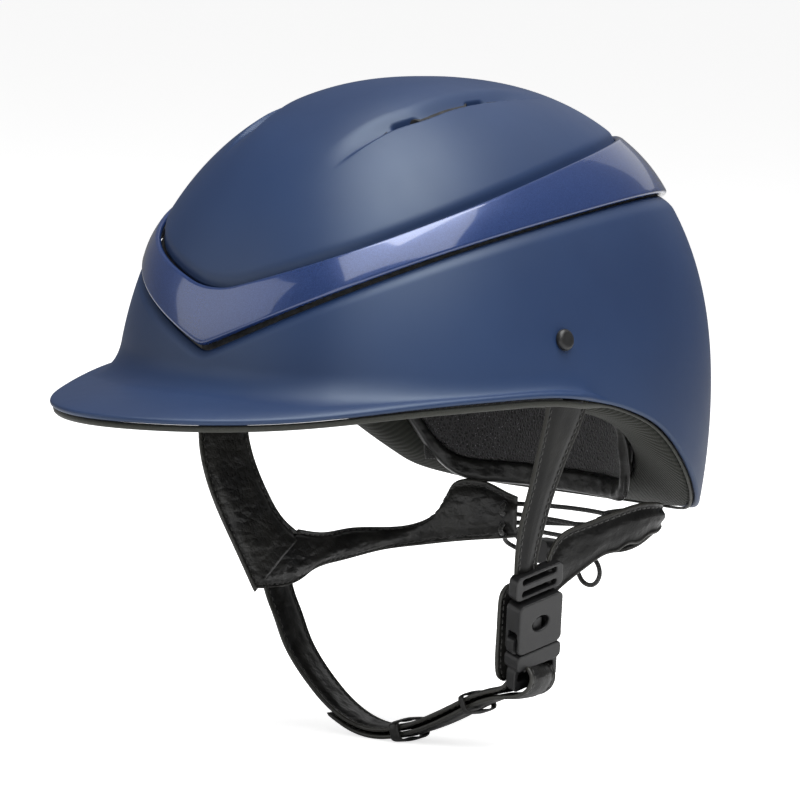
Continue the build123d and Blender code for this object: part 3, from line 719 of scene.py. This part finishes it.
def lower_shell_outer():
    """Outer surface of the lower shell and peak, from the joint under the band to the lip."""
    top = dome_height(ring, lambda p: band_low(p) - GAP_BELOW_BAND)
    rim, base, outward, reach = rim_of(ring)
    flat = smoothstep(reach, 0.0, 6.0)
    curve = np.minimum(FILLET, 1.1 * reach + 1.5)
    tip = base + outward * reach[:, None]
    tip[:, 2] = edge_level(tip[:, 1]) + LIP
    down = unit(dome(ring, rim - 1) - dome(ring, rim + 1))
    level = rim + LIP + flat * (peak_level(base[:, 1]) - rim - LIP) + 0.5 * flat
    start = level + curve
    corner = dome(ring, level)
    lip_end = base + down * (-0.5 * LIP)
    tip = lip_end + flat[:, None] * (tip - outward * LIP * 0.5 - lip_end)
    heading = unit(down + flat[:, None] * (unit(tip - corner) - down))
    run = np.linalg.norm(tip - corner, axis=1)
    leave = corner + heading * np.minimum(curve, 0.55 * run)[:, None]
    rises = np.linspace(0, 1, WALL_ROWS) ** 1.5
    fall = (top - start)[:, None] * rises[None, :]
    roll = TOP_ROLL * np.clip(1 - fall / ROLL_REACH, 0, 1) ** 2
    wall = dome(ring[:, None], top[:, None] - fall, roll)
    begin = wall[:, -1]
    bend = bezier(begin, begin + (corner - begin) * 0.62, leave + (corner - leave) * 0.62, leave, BEND_ROWS)
    shares = np.linspace(0, 1, BRIM_ROWS)[None, 1:, None]
    brim = leave[:, None] + (tip - leave)[:, None] * shares
    crown = np.sin(shares[..., 0] * pi) * (0.05 * run * flat)[:, None] * 0.35
    brim[..., 2] += crown
    brim[..., 2] -= (shares[..., 0] ** 8) * (0.5 * flat)[:, None]
    return np.concatenate([wall, bend[:, 1:], brim], 1)


def make_lower_shell():
    """The lower shell with its peak, rolled at its upper edge."""
    loops = wall_loops(lower_shell_outer(), SHELL_WALL, (0, 0, -60))
    ring_piece("lower_shell_and_peak", loops, NAVY, stands_for=["lower_shell"])


def make_trim_band():
    """The gloss band, and a black seat behind it that paints the shade in the joints beside it."""
    low = dome_height(ring, band_low)
    high = dome_height(ring, band_high)
    shares = np.linspace(0, 1, 26)
    height = between(low, high, shares)
    proud = BAND_PROUD + BAND_CROWNING * np.sin(shares * pi)
    outer = dome(ring[:, None], height)
    outer = outer + outward_normals(outer) * proud[None, :, None]
    ring_piece("trim_band_gloss", wall_loops(outer, 3.0), GLOSS, stands_for=["trim_band"])
    # Painted shade: this ring is black to stand in for the shade in the recess under and over the band.
    seat_height = between(low - 9, high + 5, np.linspace(0, 1, 14))
    seat = dome(ring[:, None], seat_height, 2.9)
    ring_piece("trim_band_shaded_seat", wall_loops(seat, 1.2), PLASTIC)


VENT_LINE = [(32.9, -90.4, 109.2), (36.3, -73.7, 120.9), (38.7, -60.1, 127.1), (41.2, -45.7, 131.1),
             (40.2, -29.7, 134.9), (38.3, -11.4, 137.5), (36.5, 3.2, 138.7), (34.5, 19.9, 139.3),
             (31.6, 37.7, 139.1)]
SLOT_PLACES = [(0.33, 7.6), (0.68, 7.0)]        # share of the channel's length, half the slot's length
SLOT_HALF_WIDTH = 2.4
CHANNEL_DEPTH = 3.4


def vent_depth(points, normals):
    """Depth of the vent channels at points of the crown, and how far each point is inside a slot."""
    path, length = smooth_path(VENT_LINE)
    shares = np.linspace(0, 1, 160)
    line = path(shares)
    heading = unit(np.gradient(line, axis=0))
    mirrored = points.copy()
    mirrored[:, 0] = np.abs(mirrored[:, 0])
    facing = normals.copy()
    facing[:, 0] = np.where(points[:, 0] < 0, -facing[:, 0], facing[:, 0])
    depth = np.zeros(len(points))
    inside = np.full(len(points), -9.0)
    near = np.where((mirrored[:, 0] > 12) & (mirrored[:, 0] < 62) & (mirrored[:, 1] < 62)
                    & (mirrored[:, 1] > -115))[0]
    gaps = np.linalg.norm(mirrored[near, None] - line[None], axis=2)
    closest = gaps.argmin(1)
    offset = mirrored[near] - line[closest]
    side = unit(np.cross(heading[closest], facing[near]))
    side = side * np.where(side[:, :1] < 0, -1.0, 1.0)
    across = (offset * side).sum(1)
    along = shares[closest] + (offset * heading[closest]).sum(1) / length
    fade = smoothstep(along, -0.02, 0.28) * (1 - smoothstep(along, 0.78, 1.02))
    soft = smoothstep(across, -9.5, 1.0)
    sharp = 1 - smoothstep(across, 1.6, 2.9)
    depth[near] = CHANNEL_DEPTH * fade * soft * sharp
    for share, half in SLOT_PLACES:
        reach = np.abs(along - share) * length
        run = np.maximum(reach - half + SLOT_HALF_WIDTH, 0)
        distance = np.hypot(run, across + 0.4)
        inside[near] = np.maximum(inside[near], SLOT_HALF_WIDTH - distance)
    return depth, inside


def make_crown():
    """The crown shell, with two vent channels and a pair of slots through each."""
    base = dome_height(ring, lambda p: band_high(p) + 1.0, 1.0)
    rows = CROWN_ROWS
    shares = np.linspace(0, 0.997, rows)
    top = HEIGHT - 0.3
    height = between(base, top, 1 - (1 - shares) ** 2)
    outer = dome(ring[:, None], height)
    climb = np.zeros(outer.shape[:2])
    climb[:, 1:] = np.cumsum(np.linalg.norm(np.diff(outer, axis=1), axis=2), axis=1)
    normals = outward_normals(outer)
    roll = 2.4 * (1 - smoothstep(climb, 0.0, 9.0)) ** 2
    outer = outer - normals * roll[..., None]
    flat_points, flat_normals = outer.reshape(-1, 3), normals.reshape(-1, 3)
    depth, inside = vent_depth(flat_points, flat_normals)
    wall_drop = 2.0 * smoothstep(inside, -0.7, 0.5)
    outer_flat = flat_points - flat_normals * (depth + wall_drop)[:, None]
    inner_flat = outer_flat - flat_normals * SHELL_WALL
    count = len(outer_flat)
    pole = dome(0.0, top)
    vertices = np.concatenate([outer_flat, inner_flat, [pole, pole - (0, 0, SHELL_WALL)]])
    quads = np.array(grid_faces(COLUMNS, rows, True, False))
    cut = (inside[quads] > 0.35).all(axis=1)
    kept = quads[~cut]
    faces = [tuple(q) for q in kept] + [tuple(q[::-1] + count) for q in kept]
    edges = Counter(tuple(sorted(pair)) for quad in quads[cut] for pair in zip(quad, np.roll(quad, -1)))
    faces += [(a, b, b + count, a + count) for (a, b), uses in edges.items() if uses == 1]
    for j in range(COLUMNS):
        after = (j + 1) % COLUMNS
        first, second = j * rows, after * rows
        faces.append((first, second, second + count, first + count))
        last, other = j * rows + rows - 1, after * rows + rows - 1
        faces.append((last, other, 2 * count))
        faces.append((last + count, other + count, 2 * count + 1))
    finish_piece("crown_shell_vented", vertices, faces, [NAVY], "helmet", ["crown_shell"])


make_lower_shell()
make_trim_band()
make_crown()

# --- Inside the shell ----------------------------------------------------------------------------
def rim_point(inset, drop):
    """Points that follow the shell's lower edge all round, inset from it and lowered."""
    _, base, outward, reach = rim_of(ring)
    point = base + outward * (reach - inset)[:, None]
    point[:, 2] = edge_level(point[:, 1]) - drop
    return point, outward


def round_tube(line, radius, sides=10):
    """Closed profiles of a round tube along a closed line of points."""
    along = unit(np.roll(line, -1, 0) - np.roll(line, 1, 0))
    side = unit(np.cross(along, (0.0, 0.0, 1.0)))
    lift = np.cross(side, along)
    turns = circle(sides)
    radius = np.broadcast_to(radius, (len(line), 1))
    return (line[:, None] + side[:, None] * (radius * np.cos(turns))[..., None]
            + lift[:, None] * (radius * np.sin(turns))[..., None])


def make_edge_piping():
    """The piped edge of the lining, which shows as a grey line under the shell's lip."""
    line, outward = rim_point(4.3, 1.5)
    back = smoothstep(line[:, 1], -10, 18)[:, None]
    line = line + back * (outward * 0.5 + (0, 0, 1.0))
    ring_piece("shell_edge_piping", round_tube(line, 1.5 - 0.85 * back), PIPING)


def lining_profile(outside, inside, bottom_puff, thickness, steps=14):
    """Closed profiles between an outer and an inner ring of points, crowned downwards."""
    shares = np.linspace(0, 1, steps)
    swell = swollen(shares, 2.6)
    lower = outside[:, None] + (inside - outside)[:, None] * shares[None, :, None]
    upper = lower.copy()
    lower[..., 2] -= bottom_puff * swell
    upper[..., 2] += thickness * swell
    return closed_profiles(lower, upper)


def make_edge_lining():
    """Ribbed fabric over the foam's lower face. It hangs lower on the far side."""
    outside, inside = (dome(ring, dome_height(ring, lambda p: edge_at(p) + 0.6, *insets), *insets)
                       for insets in ((4.6, 4.6), (LINER_SIDE - 0.5, LINER_ENDS - 0.5)))
    bulge = 5.5 - 4.0 * smoothstep(outside[:, 1], 62, 104)
    far = smoothstep(-outside[:, 0], 30, 70) * smoothstep(outside[:, 1], -5, 30)
    bulge = bulge + 10.0 * far * (1 - 0.75 * smoothstep(outside[:, 1], 85, 115))
    loops = lining_profile(outside, inside, bulge[:, None], 1.4, 22)
    ring_piece("edge_lining_ribbed", loops, RIBBED, stands_for=["edge_lining"])


def cap_ends(count, size, start=0):
    """Two faces that close the ends of a tube of count profiles with size points."""
    first = tuple(range(start, start + size))
    last = tuple(range(start + (count - 1) * size, start + count * size))
    return [first[::-1], last]


def make_peak_lining():
    """Black cloth under the peak."""
    turns = np.linspace(-radians(82), radians(82), 160)
    rim, base, outward, reach = rim_of(turns)
    outside = base + outward * np.maximum(reach - 3.8, 0.5)[:, None]
    outside[:, 2] = edge_level(outside[:, 1]) + 0.2
    inside = dome(turns, rim, 5.0)
    inside[:, 2] = edge_level(inside[:, 1]) + 0.2
    loops = lining_profile(outside, inside, 0.5, 1.0)
    faces = grid_faces(len(turns), loops.shape[1], False, True) + cap_ends(len(turns), loops.shape[1])
    finish_piece("peak_lining_cloth", loops.reshape(-1, 3), faces, [LINING_CLOTH], "helmet",
                 ["peak_lining"], grid_lengths(loops))


def padded_ring(name, low_level, high_level, puff, material, node, wrinkle):
    """A padded band that stands against the foam, between two levels."""
    low = dome_height(ring, low_level, LINER_SIDE + 2, LINER_ENDS + 2)
    high = dome_height(ring, high_level, LINER_SIDE + 2, LINER_ENDS + 2)
    shares = np.linspace(0, 1, 26)
    swell = swollen(shares, 5)
    height = between(low, high, shares)
    middle = dome(ring[:, None], height, LINER_SIDE + 1.6, LINER_ENDS + 1.6)
    normals = outward_normals(middle)
    soft = wrinkle[0] * ripple(middle, wrinkle[1], 5)
    outer = middle + normals * (1.2 * swell)[None, :, None]
    inner = middle - normals * ((puff + soft) * swell[None, :])[..., None]
    loops = closed_profiles(outer, inner)
    piece = ring_piece(name, loops, material, stands_for=[node])


def make_headband():
    """The comfort band: spacer mesh above, soft leather along its lower edge."""
    padded_ring("headband_mesh", lambda p: headband_at(p) + 9.0, lambda p: HEADBAND_TOP, 3.4, MESH,
                "headband_pad", (0.4, 30.0))
    padded_ring("headband_leather_edge", headband_at, lambda p: headband_at(p) + 10.2, 3.8, LEATHER,
                "headband_trim", (0.5, 6.0))


def under_crown(x, y, inset):
    """Points under the crown at places x, y, inset from the shell's outside."""
    x, y = np.broadcast_arrays(np.asarray(x, float), np.asarray(y, float))
    turn = np.arctan2(x / HALF_WIDTH, -y / FRONT)
    far = np.hypot(x, y)

    def outside(height):
        point = dome(turn, height, inset, inset + 6)
        return far - np.hypot(point[..., 0], point[..., 1])
    height = bisect(outside, np.full(x.shape, 20.0), np.full(x.shape, HEIGHT - inset - 0.05))
    return np.stack([x, y, height], -1)


# --- Straps --------------------------------------------------------------------------------------
EDGE_STEPS = np.array([0.0, 0.12, 0.4, 0.8, 1.2, 1.6, 1.9, 2.2, 2.5, 2.8, 3.2, 3.9, 5.0, 6.6])
CORDING = 0.95              # radius of the corded edge
GROOVE_HALF = 0.62          # half the thickness in the stitched groove
STRAP_ROW = 1.2             # spacing of a strap's profiles
SOFT_END = 1.6              # a strap's ends are rounded over this length
FULL_EDGE = 7.4             # the edge steps shrink where half the width is less than this
STITCH_INSET, STITCH_PITCH, STITCH_LENGTH, STITCH_RADIUS, STITCH_SIDES = 2.55, 3.3, 2.3, 0.34, 6


def strap_half_thickness(distance, thickness):
    """Half the thickness at a distance in from the edge: corded edge, stitched groove, padding."""
    bead = CORDING * np.sqrt(np.clip(1 - ((distance - CORDING) / CORDING) ** 2, 0, 1))
    groove = CORDING + (GROOVE_HALF - CORDING) * smoothstep(distance, CORDING, 2.3)
    padding = (thickness / 2 - GROOVE_HALF) * smoothstep(distance, 2.6, 6.8)
    return np.where(distance < CORDING, bead, groove + padding)


def stitch_rows(line, facing, start, pieces):
    """Short rounded threads laid along a line of points that are a millimetre apart."""
    lengths = distances(line)
    vertices, faces = [], []
    turns = circle(STITCH_SIDES)
    profile = ((0.0, 0.35), (0.15, 0.85), (0.5, 1.0), (0.85, 0.85), (1.0, 0.35))
    for begin in np.arange(2.0, lengths[-1] - STITCH_LENGTH - 2.0, STITCH_PITCH):
        ends = [np.array([np.interp(begin + reach, lengths, line[:, k]) for k in range(3)])
                for reach in (0.0, STITCH_LENGTH)]
        up = np.array([np.interp(begin, lengths, facing[:, k]) for k in range(3)])
        along = unit(ends[1] - ends[0])
        side = unit(np.cross(along, up))
        first = start + len(vertices)
        for share, swell in profile:
            centre = ends[0] + (ends[1] - ends[0]) * share + up * (0.22 * swell - 0.12)
            for turn in turns:
                vertices.append(centre + STITCH_RADIUS * swell * (side * cos(turn) + up * sin(turn)))
        faces += grid_faces(len(profile), STITCH_SIDES, False, True, first)
        faces += cap_ends(len(profile), STITCH_SIDES, first)
    pieces[0].append(np.array(vertices).reshape(-1, 3))
    pieces[1].extend(faces)
    return start + len(vertices)


def strap(name, one_edge, other_edge, thickness, slot, stands_for, body=None, blend=None, fill=None,
          wrinkle=(0.22, 9.0), stitched=(True, True), seed=1, leather=LEATHER):
    """A padded leather strap between two edges, which are lists of points from end to end."""
    one, one_length = smooth_path(one_edge)
    other, other_length = smooth_path(other_edge)
    length = max(one_length, other_length)
    rows = int(length / STRAP_ROW) + 2
    shares = np.linspace(0, 1, rows)
    left, right = one(shares), other(shares)
    width = np.linalg.norm(right - left, axis=1)
    scale = np.minimum(1.0, width / 2 / FULL_EDGE)
    steps = EDGE_STEPS[None, :] * scale[:, None]
    middle = width[:, None] * np.array([0.42, 0.5, 0.58])[None, :]
    places = np.concatenate([steps, np.sort(middle, 1), width[:, None] - steps[:, ::-1]], 1)
    places = np.sort(places, 1)
    distance = np.minimum(places, width[:, None] - places) / np.maximum(scale, 0.55)[:, None]
    across = unit(right - left)
    surface = left[:, None] + across[:, None] * places[..., None]
    along = unit(np.gradient((left + right) / 2, axis=0))
    normal = unit(np.cross(along, across))
    half = strap_half_thickness(distance, thickness)
    end_reach = np.minimum(np.arange(rows), np.arange(rows)[::-1]) * (length / rows)
    half = half * (0.25 + 0.75 * np.sqrt(1 - np.clip(1 - end_reach / SOFT_END, 0, 1) ** 2))[:, None]
    soft = smoothstep(distance, 2.8, 6.0) * wrinkle[0]
    upper = surface + normal[:, None] * (half + soft * ripple(surface, wrinkle[1], seed))[..., None]
    lower = surface - normal[:, None] * (half + soft * ripple(surface, wrinkle[1], seed + 9))[..., None]
    loops = closed_profiles(upper, lower)
    size = loops.shape[1]
    faces = grid_faces(rows, size, False, True)
    last = places.shape[1] - 1
    for row in (0, rows - 1):
        begin = row * size
        faces.append((begin, begin + 1, begin + size - 1))
        for k in range(1, last - 1):
            faces.append((begin + k, begin + k + 1, begin + size - k - 1, begin + size - k))
        faces.append((begin + last - 1, begin + last, begin + last + 1))
    # Painted highlight along the corded edges: strongest at the very edge, gone a little way in.
    wear_and_edge_sheen = closed_profiles(distance, distance)
    edge_highlight = 0.45 * (1 - smoothstep(wear_and_edge_sheen, 0.5, 1.9)).reshape(-1)
    leather_faces = len(faces)
    threads = ([], [])
    start = rows * size
    lift = strap_half_thickness(np.array(STITCH_INSET), thickness)
    for side in (1, -1):
        for edge, heading, wanted in ((left, across, stitched[0]), (right, -across, stitched[1])):
            if wanted:
                line = edge + heading * (STITCH_INSET * scale)[:, None] + normal * side * lift
                start = stitch_rows(line, normal * side, start, threads)
    uv = grid_lengths(loops)
    vertices = np.concatenate([loops.reshape(-1, 3), *threads[0]])
    uv = np.concatenate([uv, np.zeros((len(vertices) - len(uv), 2))])
    edge_highlight = np.concatenate([edge_highlight, np.zeros(len(vertices) - len(edge_highlight))])
    faces += threads[1]
    piece = finish_piece(name, vertices, faces, [leather, THREAD], body, stands_for, uv,
                         [0] * leather_faces + [1] * (len(faces) - leather_faces), edge_highlight)
    if blend:
        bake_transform(piece)


def left_side(y, z, out=0.0):
    """A point of the near side strap's plane, or outside it."""
    return (98.0 + 0.30 * z + 0.958 * out, y, z - 0.287 * out)


def right_side(y, z):
    """A point of the far side strap's plane."""
    return (-98.0 - 0.30 * z, y, z)


HINGE_BLEND = ("helmet", "harness", (0, 0, 0.010), (0, 0, -0.006))
NAPE_BLEND_LEFT = ("harness", "helmet", (0.078, 0.024, -0.055), (0.078, 0.074, -0.055))
NAPE_BLEND_RIGHT = ("harness", "helmet", (-0.075, 0.030, -0.070), (-0.065, 0.082, -0.065))


def make_side_straps():
    """The straps that hang from the helmet: a plain one on the near side, a padded V on the far."""
    strap("front_strap_near",
          [left_side(*p) for p in ((-20, 13), (-18.5, 4), (-17.5, -10), (-16.2, -30), (-15.4, -48),
                                   (-12.5, -61), (-8.5, -69, -1.5))],
          [left_side(*p) for p in ((6, 13), (6, 4), (3.5, -10), (0.7, -30), (0.4, -48), (1.5, -61),
                                   (5, -68, -1.5))],
          3.0, "soft_leather", ["front_strap_left"], blend=HINGE_BLEND, wrinkle=(0.10, 16.0), seed=3,
          leather=PLAIN_SHADED_LEATHER)
    strap("front_strap_far",
          [right_side(*p) for p in ((-36, 13), (-36.5, 5), (-44, -24), (-41, -51), (-34, -69),
                                    (-24.6, -92))],
          [right_side(*p) for p in ((-10, 13), (-9.5, 5), (-13, -24), (-6.5, -49), (0, -60),
                                    (10.2, -68))],
          5.4, "soft_leather", ["front_strap_right"], blend=HINGE_BLEND, fill=0.6,
          wrinkle=(0.4, 10.0), seed=12, leather=PUFFED_LIT_LEATHER)
    strap("rear_strap_and_nape_far",
          [right_side(8.8, -65.6), right_side(24, -67.6), right_side(42, -66.5), (-72, 56, -66),
           (-62, 72, -63), (-55.5, 79, -55), (-52.5, 82, -45), (-42, 92, -43), (-33, 97, -47),
           (-27, 99, -49)],
          [right_side(-25.6, -90.3), right_side(6, -87.6), right_side(14, -84.2), right_side(33, -80.8),
           (-70, 56, -76.5), (-61, 71, -74), (-52, 81, -72), (-40, 93, -70), (-33, 97, -69),
           (-27, 99, -68)],
          4.8, "soft_leather", ["rear_strap_right", "nape_pad_right"], blend=NAPE_BLEND_RIGHT,
          fill=0.6, wrinkle=(0.4, 10.0), seed=14, leather=PUFFED_LIT_LEATHER)
    strap("rear_strap_and_nape_near",
          [(78.8, 9, -62), (77.0, 17.7, -52), (80.0, 32, -46), (82.5, 46, -42), (83, 64, -38.5),
           (78, 82, -40.0), (66, 90, -43), (50, 94.5, -45.5), (33, 97, -48.5), (27, 98, -50)],
          [(72.0, 15, -83), (73, 20, -78.5), (76, 31, -70), (77.5, 38, -65.5), (79.5, 47, -61),
           (80, 52, -60.2), (81, 58, -57.2), (81.5, 64, -57), (81.5, 70, -54), (80, 77, -53.2),
           (76, 84, -51.5), (66, 90, -56), (50, 94.5, -64.5), (33, 97, -68), (27, 98, -68)],
          4.4, "soft_leather", ["rear_strap_left", "nape_pad_left"], blend=NAPE_BLEND_LEFT,
          fill=0.5, wrinkle=(0.6, 9.0), stitched=(True, False), seed=16, leather=SHADED_LEATHER)


def make_nape_hangers():
    """Small tabs that tie the nape panels to the lining. The far one sits higher."""
    for name, side, height, nodes in (("nape_hanger_near", 1, -34.5, ["nape_hangers"]),
                                      ("nape_hanger_far", -1, -30.0, [])):
        turn = np.array([side * 0.69, -0.72, 0.0])
        centre = np.array([side * 59.0, 78.5, height])
        edges = [[centre + way * turn * 7 + (0, 0, 4), centre + way * turn * 7,
                  centre + way * turn * 6 - (0, 0, 4.5)] for way in (1, -1)]
        strap(name, *edges, 2.4, "webbing", nodes, body="helmet", wrinkle=(0.1, 9.0), seed=51,
              leather=WEBBING)


CHIN_ROUTE = [(-6, -83), (-1.9, -94.7), (2, -102), (7.4, -113), (14, -122.2), (22.5, -131),
              (32.5, -139.3), (43, -145), (56, -148), (80, -142.5), (101, -132), (117, -124.5),
              (127, -120.5), (130.5, -115.5)]
CHIN_BLEND = ("harness", "plug", (-0.066, -0.006, -0.100), (-0.006, 0.006, -0.143))
TAIL_START = [(61.5, 18.6, -112.2), (65.5, 18.4, -110.8), (69.6, 18.6, -113.6), (69.2, 18.9, -119.0),
              (64.5, 18.6, -123.4)]
TAIL_SHARES = (0.93, 0.86, 0.76, 0.66, 0.57, 0.48, 0.405)
TAIL_DROP = 3.3
CHIN_ACROSS = np.array([0.194, -0.98, 0.0])
KEEPER_SIZE, KEEPER_WALL, KEEPER_DROP = (24.2, 8.8), 1.9, 1.65


def chin_point(along, height):
    """A point of the plane that the chin strap lies in."""
    return np.array([-69 + 0.98 * along, -7 + 0.194 * along, height])


def ribbon(name, line, width, thickness, **facts):
    """A strap of one width whose flat side faces away from the chin."""
    half = CHIN_ACROSS * width / 2
    strap(name, line + half, line - half, thickness, "soft_leather", blend=CHIN_BLEND, **facts)


def make_chin_strap():
    """The chin strap, and its end doubled back through the plug's bar."""
    route = np.array([chin_point(*p) for p in CHIN_ROUTE])
    path, _ = smooth_path(route)
    ribbon("chin_strap_leather", route, 22, 3.2, stands_for=["chin_strap"], wrinkle=(0.25, 8.0), seed=21)
    tail = list(TAIL_START)
    for share in TAIL_SHARES:
        heading = path(share + 0.01) - path(share - 0.01)
        tail.append(path(share) + unit(np.cross(heading, CHIN_ACROSS)) * TAIL_DROP)
    ribbon("chin_strap_doubled_end", np.array(tail), 20, 2.8, stands_for=["chin_strap_tail"],
           wrinkle=(0.22, 7.0), seed=24)


def keeper_loop(place, centre, heading, width):
    """A rounded loop round both layers of the strap."""
    heading = unit(np.array(heading))
    side = unit(CHIN_ACROSS)
    down = unit(np.cross(heading, side))
    turns = circle(72)
    spread = squircle(turns, 5.0)
    line = (np.array(centre) + down * KEEPER_DROP
            + side * (KEEPER_SIZE[0] / 2 * spread * np.cos(turns))[:, None]
            + down * (KEEPER_SIZE[1] / 2 * spread * np.sin(turns))[:, None])
    outward = unit(line - line.mean(0))
    around = circle(16)
    rounded = squircle(around, 3.0)
    loops = (line[:, None] + heading * (width / 2 * rounded * np.cos(around))[None, :, None]
             + outward[:, None] * (KEEPER_WALL / 2 * rounded * np.sin(around))[None, :, None])
    ring_piece(f"keeper_{place}_loop", loops, LEATHER, f"keeper_{place}",
               [f"strap_keeper_{place}"])


BUCKLE_ORIGIN = np.array([76.736, 4.5, -70.879])
BUCKLE_AXES = np.array([[0.0826, 0.9578, 0.2752], [0.2752, -0.2874, 0.9174], [0.958, 0.0, -0.287]])


def buckle_point(x, y, out):
    """A point in the buckle's own plane: across it, up along the strap, outwards."""
    return BUCKLE_ORIGIN + np.array([x, y, out]) @ BUCKLE_AXES


def make_buckle_pad():
    """The padded flap behind the buckle."""
    half_widths = ((-3, 7.5), (-6, 11), (-12, 12.3), (-28, 12.5), (-44, 12.3), (-50, 10.5), (-53, 7))
    edges = [[buckle_point(-1.5 + way * half, y, -8.8) for y, half in half_widths] for way in (-1, 1)]
    strap("buckle_guard_flap", *edges, 4.4, "soft_leather", ["buckle_pad"], body="harness", fill=0.5,
          wrinkle=(0.35, 7.0), seed=31)


CROWN_PAD_HALF = 17.0


def make_crown_pad():
    """A cross of two padded strips under the crown. The cross strip lies under the long one."""
    for name, reach, inset, nodes in (("crown_pad_long", 74.0, LINER_SIDE + 3.2, ["crown_pad"]),
                                      ("crown_pad_cross", 54.0, LINER_SIDE + 6.6, [])):
        way = np.linspace(-reach, reach, 15)
        edges = []
        for side in (-CROWN_PAD_HALF, CROWN_PAD_HALF):
            x, y = (side, way) if name == "crown_pad_long" else (way, side)
            edges.append(under_crown(x, y, inset))
        strap(name, *edges, 5.0, "mesh_fabric", nodes, body="helmet", fill=0.5, wrinkle=(0.3, 20.0),
              seed=41, leather=MESH)


# --- Lace ----------------------------------------------------------------------------------------
LACE_ROUTE = [
    (-10, 113, -71.8), (-22, 113.15, -71.8), (-34, 113, -71.8), (-40, 113, -70), (-39.5, 112, -65.8),
    (-33, 110.8, -65), (36.3, 102.6, -65.5), (30, 91.8, -65.5), (30, 91.8, -61), (36.3, 102.6, -61),
    (0, 111, -59), (-36.3, 102.6, -57.5), (-30, 91.8, -57.5), (-30, 91.8, -53), (-36.3, 102.6, -53),
    (0, 112, -52), (36.3, 102.6, -52), (30, 91.8, -52), (30, 91.8, -56.5), (36.3, 102.6, -56.5),
    (0, 116, -59.5), (-36.3, 102.6, -62), (-30, 91.8, -62), (-30, 91.8, -66.5), (-36.3, 102.6, -66.5),
    (-43, 107.5, -71.5), (-38.5, 112.4, -75), (-31, 113, -76.2), (-20, 113.15, -76.2), (-10, 113, -76.2),
]
TAIL_ROUTE = [
    (-9.8, 113, -71.8), (-3, 113.2, -71.8), (5, 113.8, -72.4), (11.2, 114.2, -76), (13, 114.4, -82),
    (9, 114.2, -87.2), (2.4, 113.9, -86.4), (-1, 113.4, -80.8), (-5, 113, -76.3), (-9.8, 113, -76.2),
]
LACE_DIAMETER = 2.2


def lace_curve(name, route, node):
    """A round cord on one smooth line."""
    curve = bpy.data.curves.new(name, "CURVE")
    curve.dimensions = "3D"
    curve.bevel_depth = LACE_DIAMETER / 2 * MM
    curve.bevel_resolution = 4
    curve.resolution_u = 12
    curve.use_fill_caps = True
    curve.materials.append(CORD)
    spline = curve.splines.new("NURBS")
    spline.points.add(len(route) - 1)
    for point, place in zip(spline.points, route):
        point.co = (*(MM * value for value in place), 1)
    spline.order_u = 3
    spline.use_endpoint_u = True
    piece = add_object(name, curve)
    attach(piece, "helmet")
    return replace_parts(piece, node)


def make_lace():
    """The nape lace, and its free loop beyond the cord lock."""
    lace_curve("nape_lace_cord", LACE_ROUTE, "nape_lace")
    tail = lace_curve("nape_lace_tail", TAIL_ROUTE, "lace_tail")


# --- CAD nodes that stay -------------------------------------------------------------------------
# Rounds of smoothing for the moulded nodes, and the bevel's width on the others.
MOULDED = {"strap_divider": 5, "buckle_socket": 12, "buckle_plug": 7, "lace_bead": 4}
BEVELLED = {"buckle_prong_front": 0.5, "buckle_prong_rear": 0.5, "cord_lock_button": 0.4,
            "cord_lock_body": 0.6}
WELD, VOXEL = 0.00001, 0.00036
CAD_FINISHES = {
    "foam_liner": FOAM, "lining_dots": PILE, "side_rivets": PLASTIC, "rivet_washers": STEEL,
    "strap_anchors": WEBBING, "nape_eyelets": METAL, **dict.fromkeys([*MOULDED, *BEVELLED], PLASTIC),
}


def finish_cad_nodes():
    """Material for every CAD node that shows, and softened edges on the moulded ones."""
    for name, material in CAD_FINISHES.items():
        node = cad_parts[name]
        node.data.materials.clear()
        node.data.materials.append(material)
        if name in MOULDED or name in BEVELLED:
            weld = node.modifiers.new("weld", "WELD")
            weld.merge_threshold = WELD
        if name in MOULDED:
            skin = node.modifiers.new("moulded skin", "REMESH")
            skin.mode = "VOXEL"
            skin.voxel_size = VOXEL
            skin.use_smooth_shade = True
            rounding = node.modifiers.new("rounding", "SMOOTH")
            rounding.factor = 0.5
            rounding.iterations = MOULDED[name]
        if name in BEVELLED:
            bevel = node.modifiers.new("bevel", "BEVEL")
            bevel.width = BEVELLED[name] * MM
            bevel.segments = 3
            bevel.limit_method = "ANGLE"
            bevel.angle_limit = radians(35)


make_edge_piping()
make_edge_lining()
make_peak_lining()
make_headband()
make_crown_pad()
make_side_straps()
make_chin_strap()
keeper_loop("front", (0.3, 6.7, -145.7), (0.946, 0.187, 0.265), 5.0)
keeper_loop("rear", (34.9, 13.6, -129.5), (0.880, 0.174, 0.442), 2.6)
make_nape_hangers()
make_buckle_pad()
make_lace()
finish_cad_nodes()
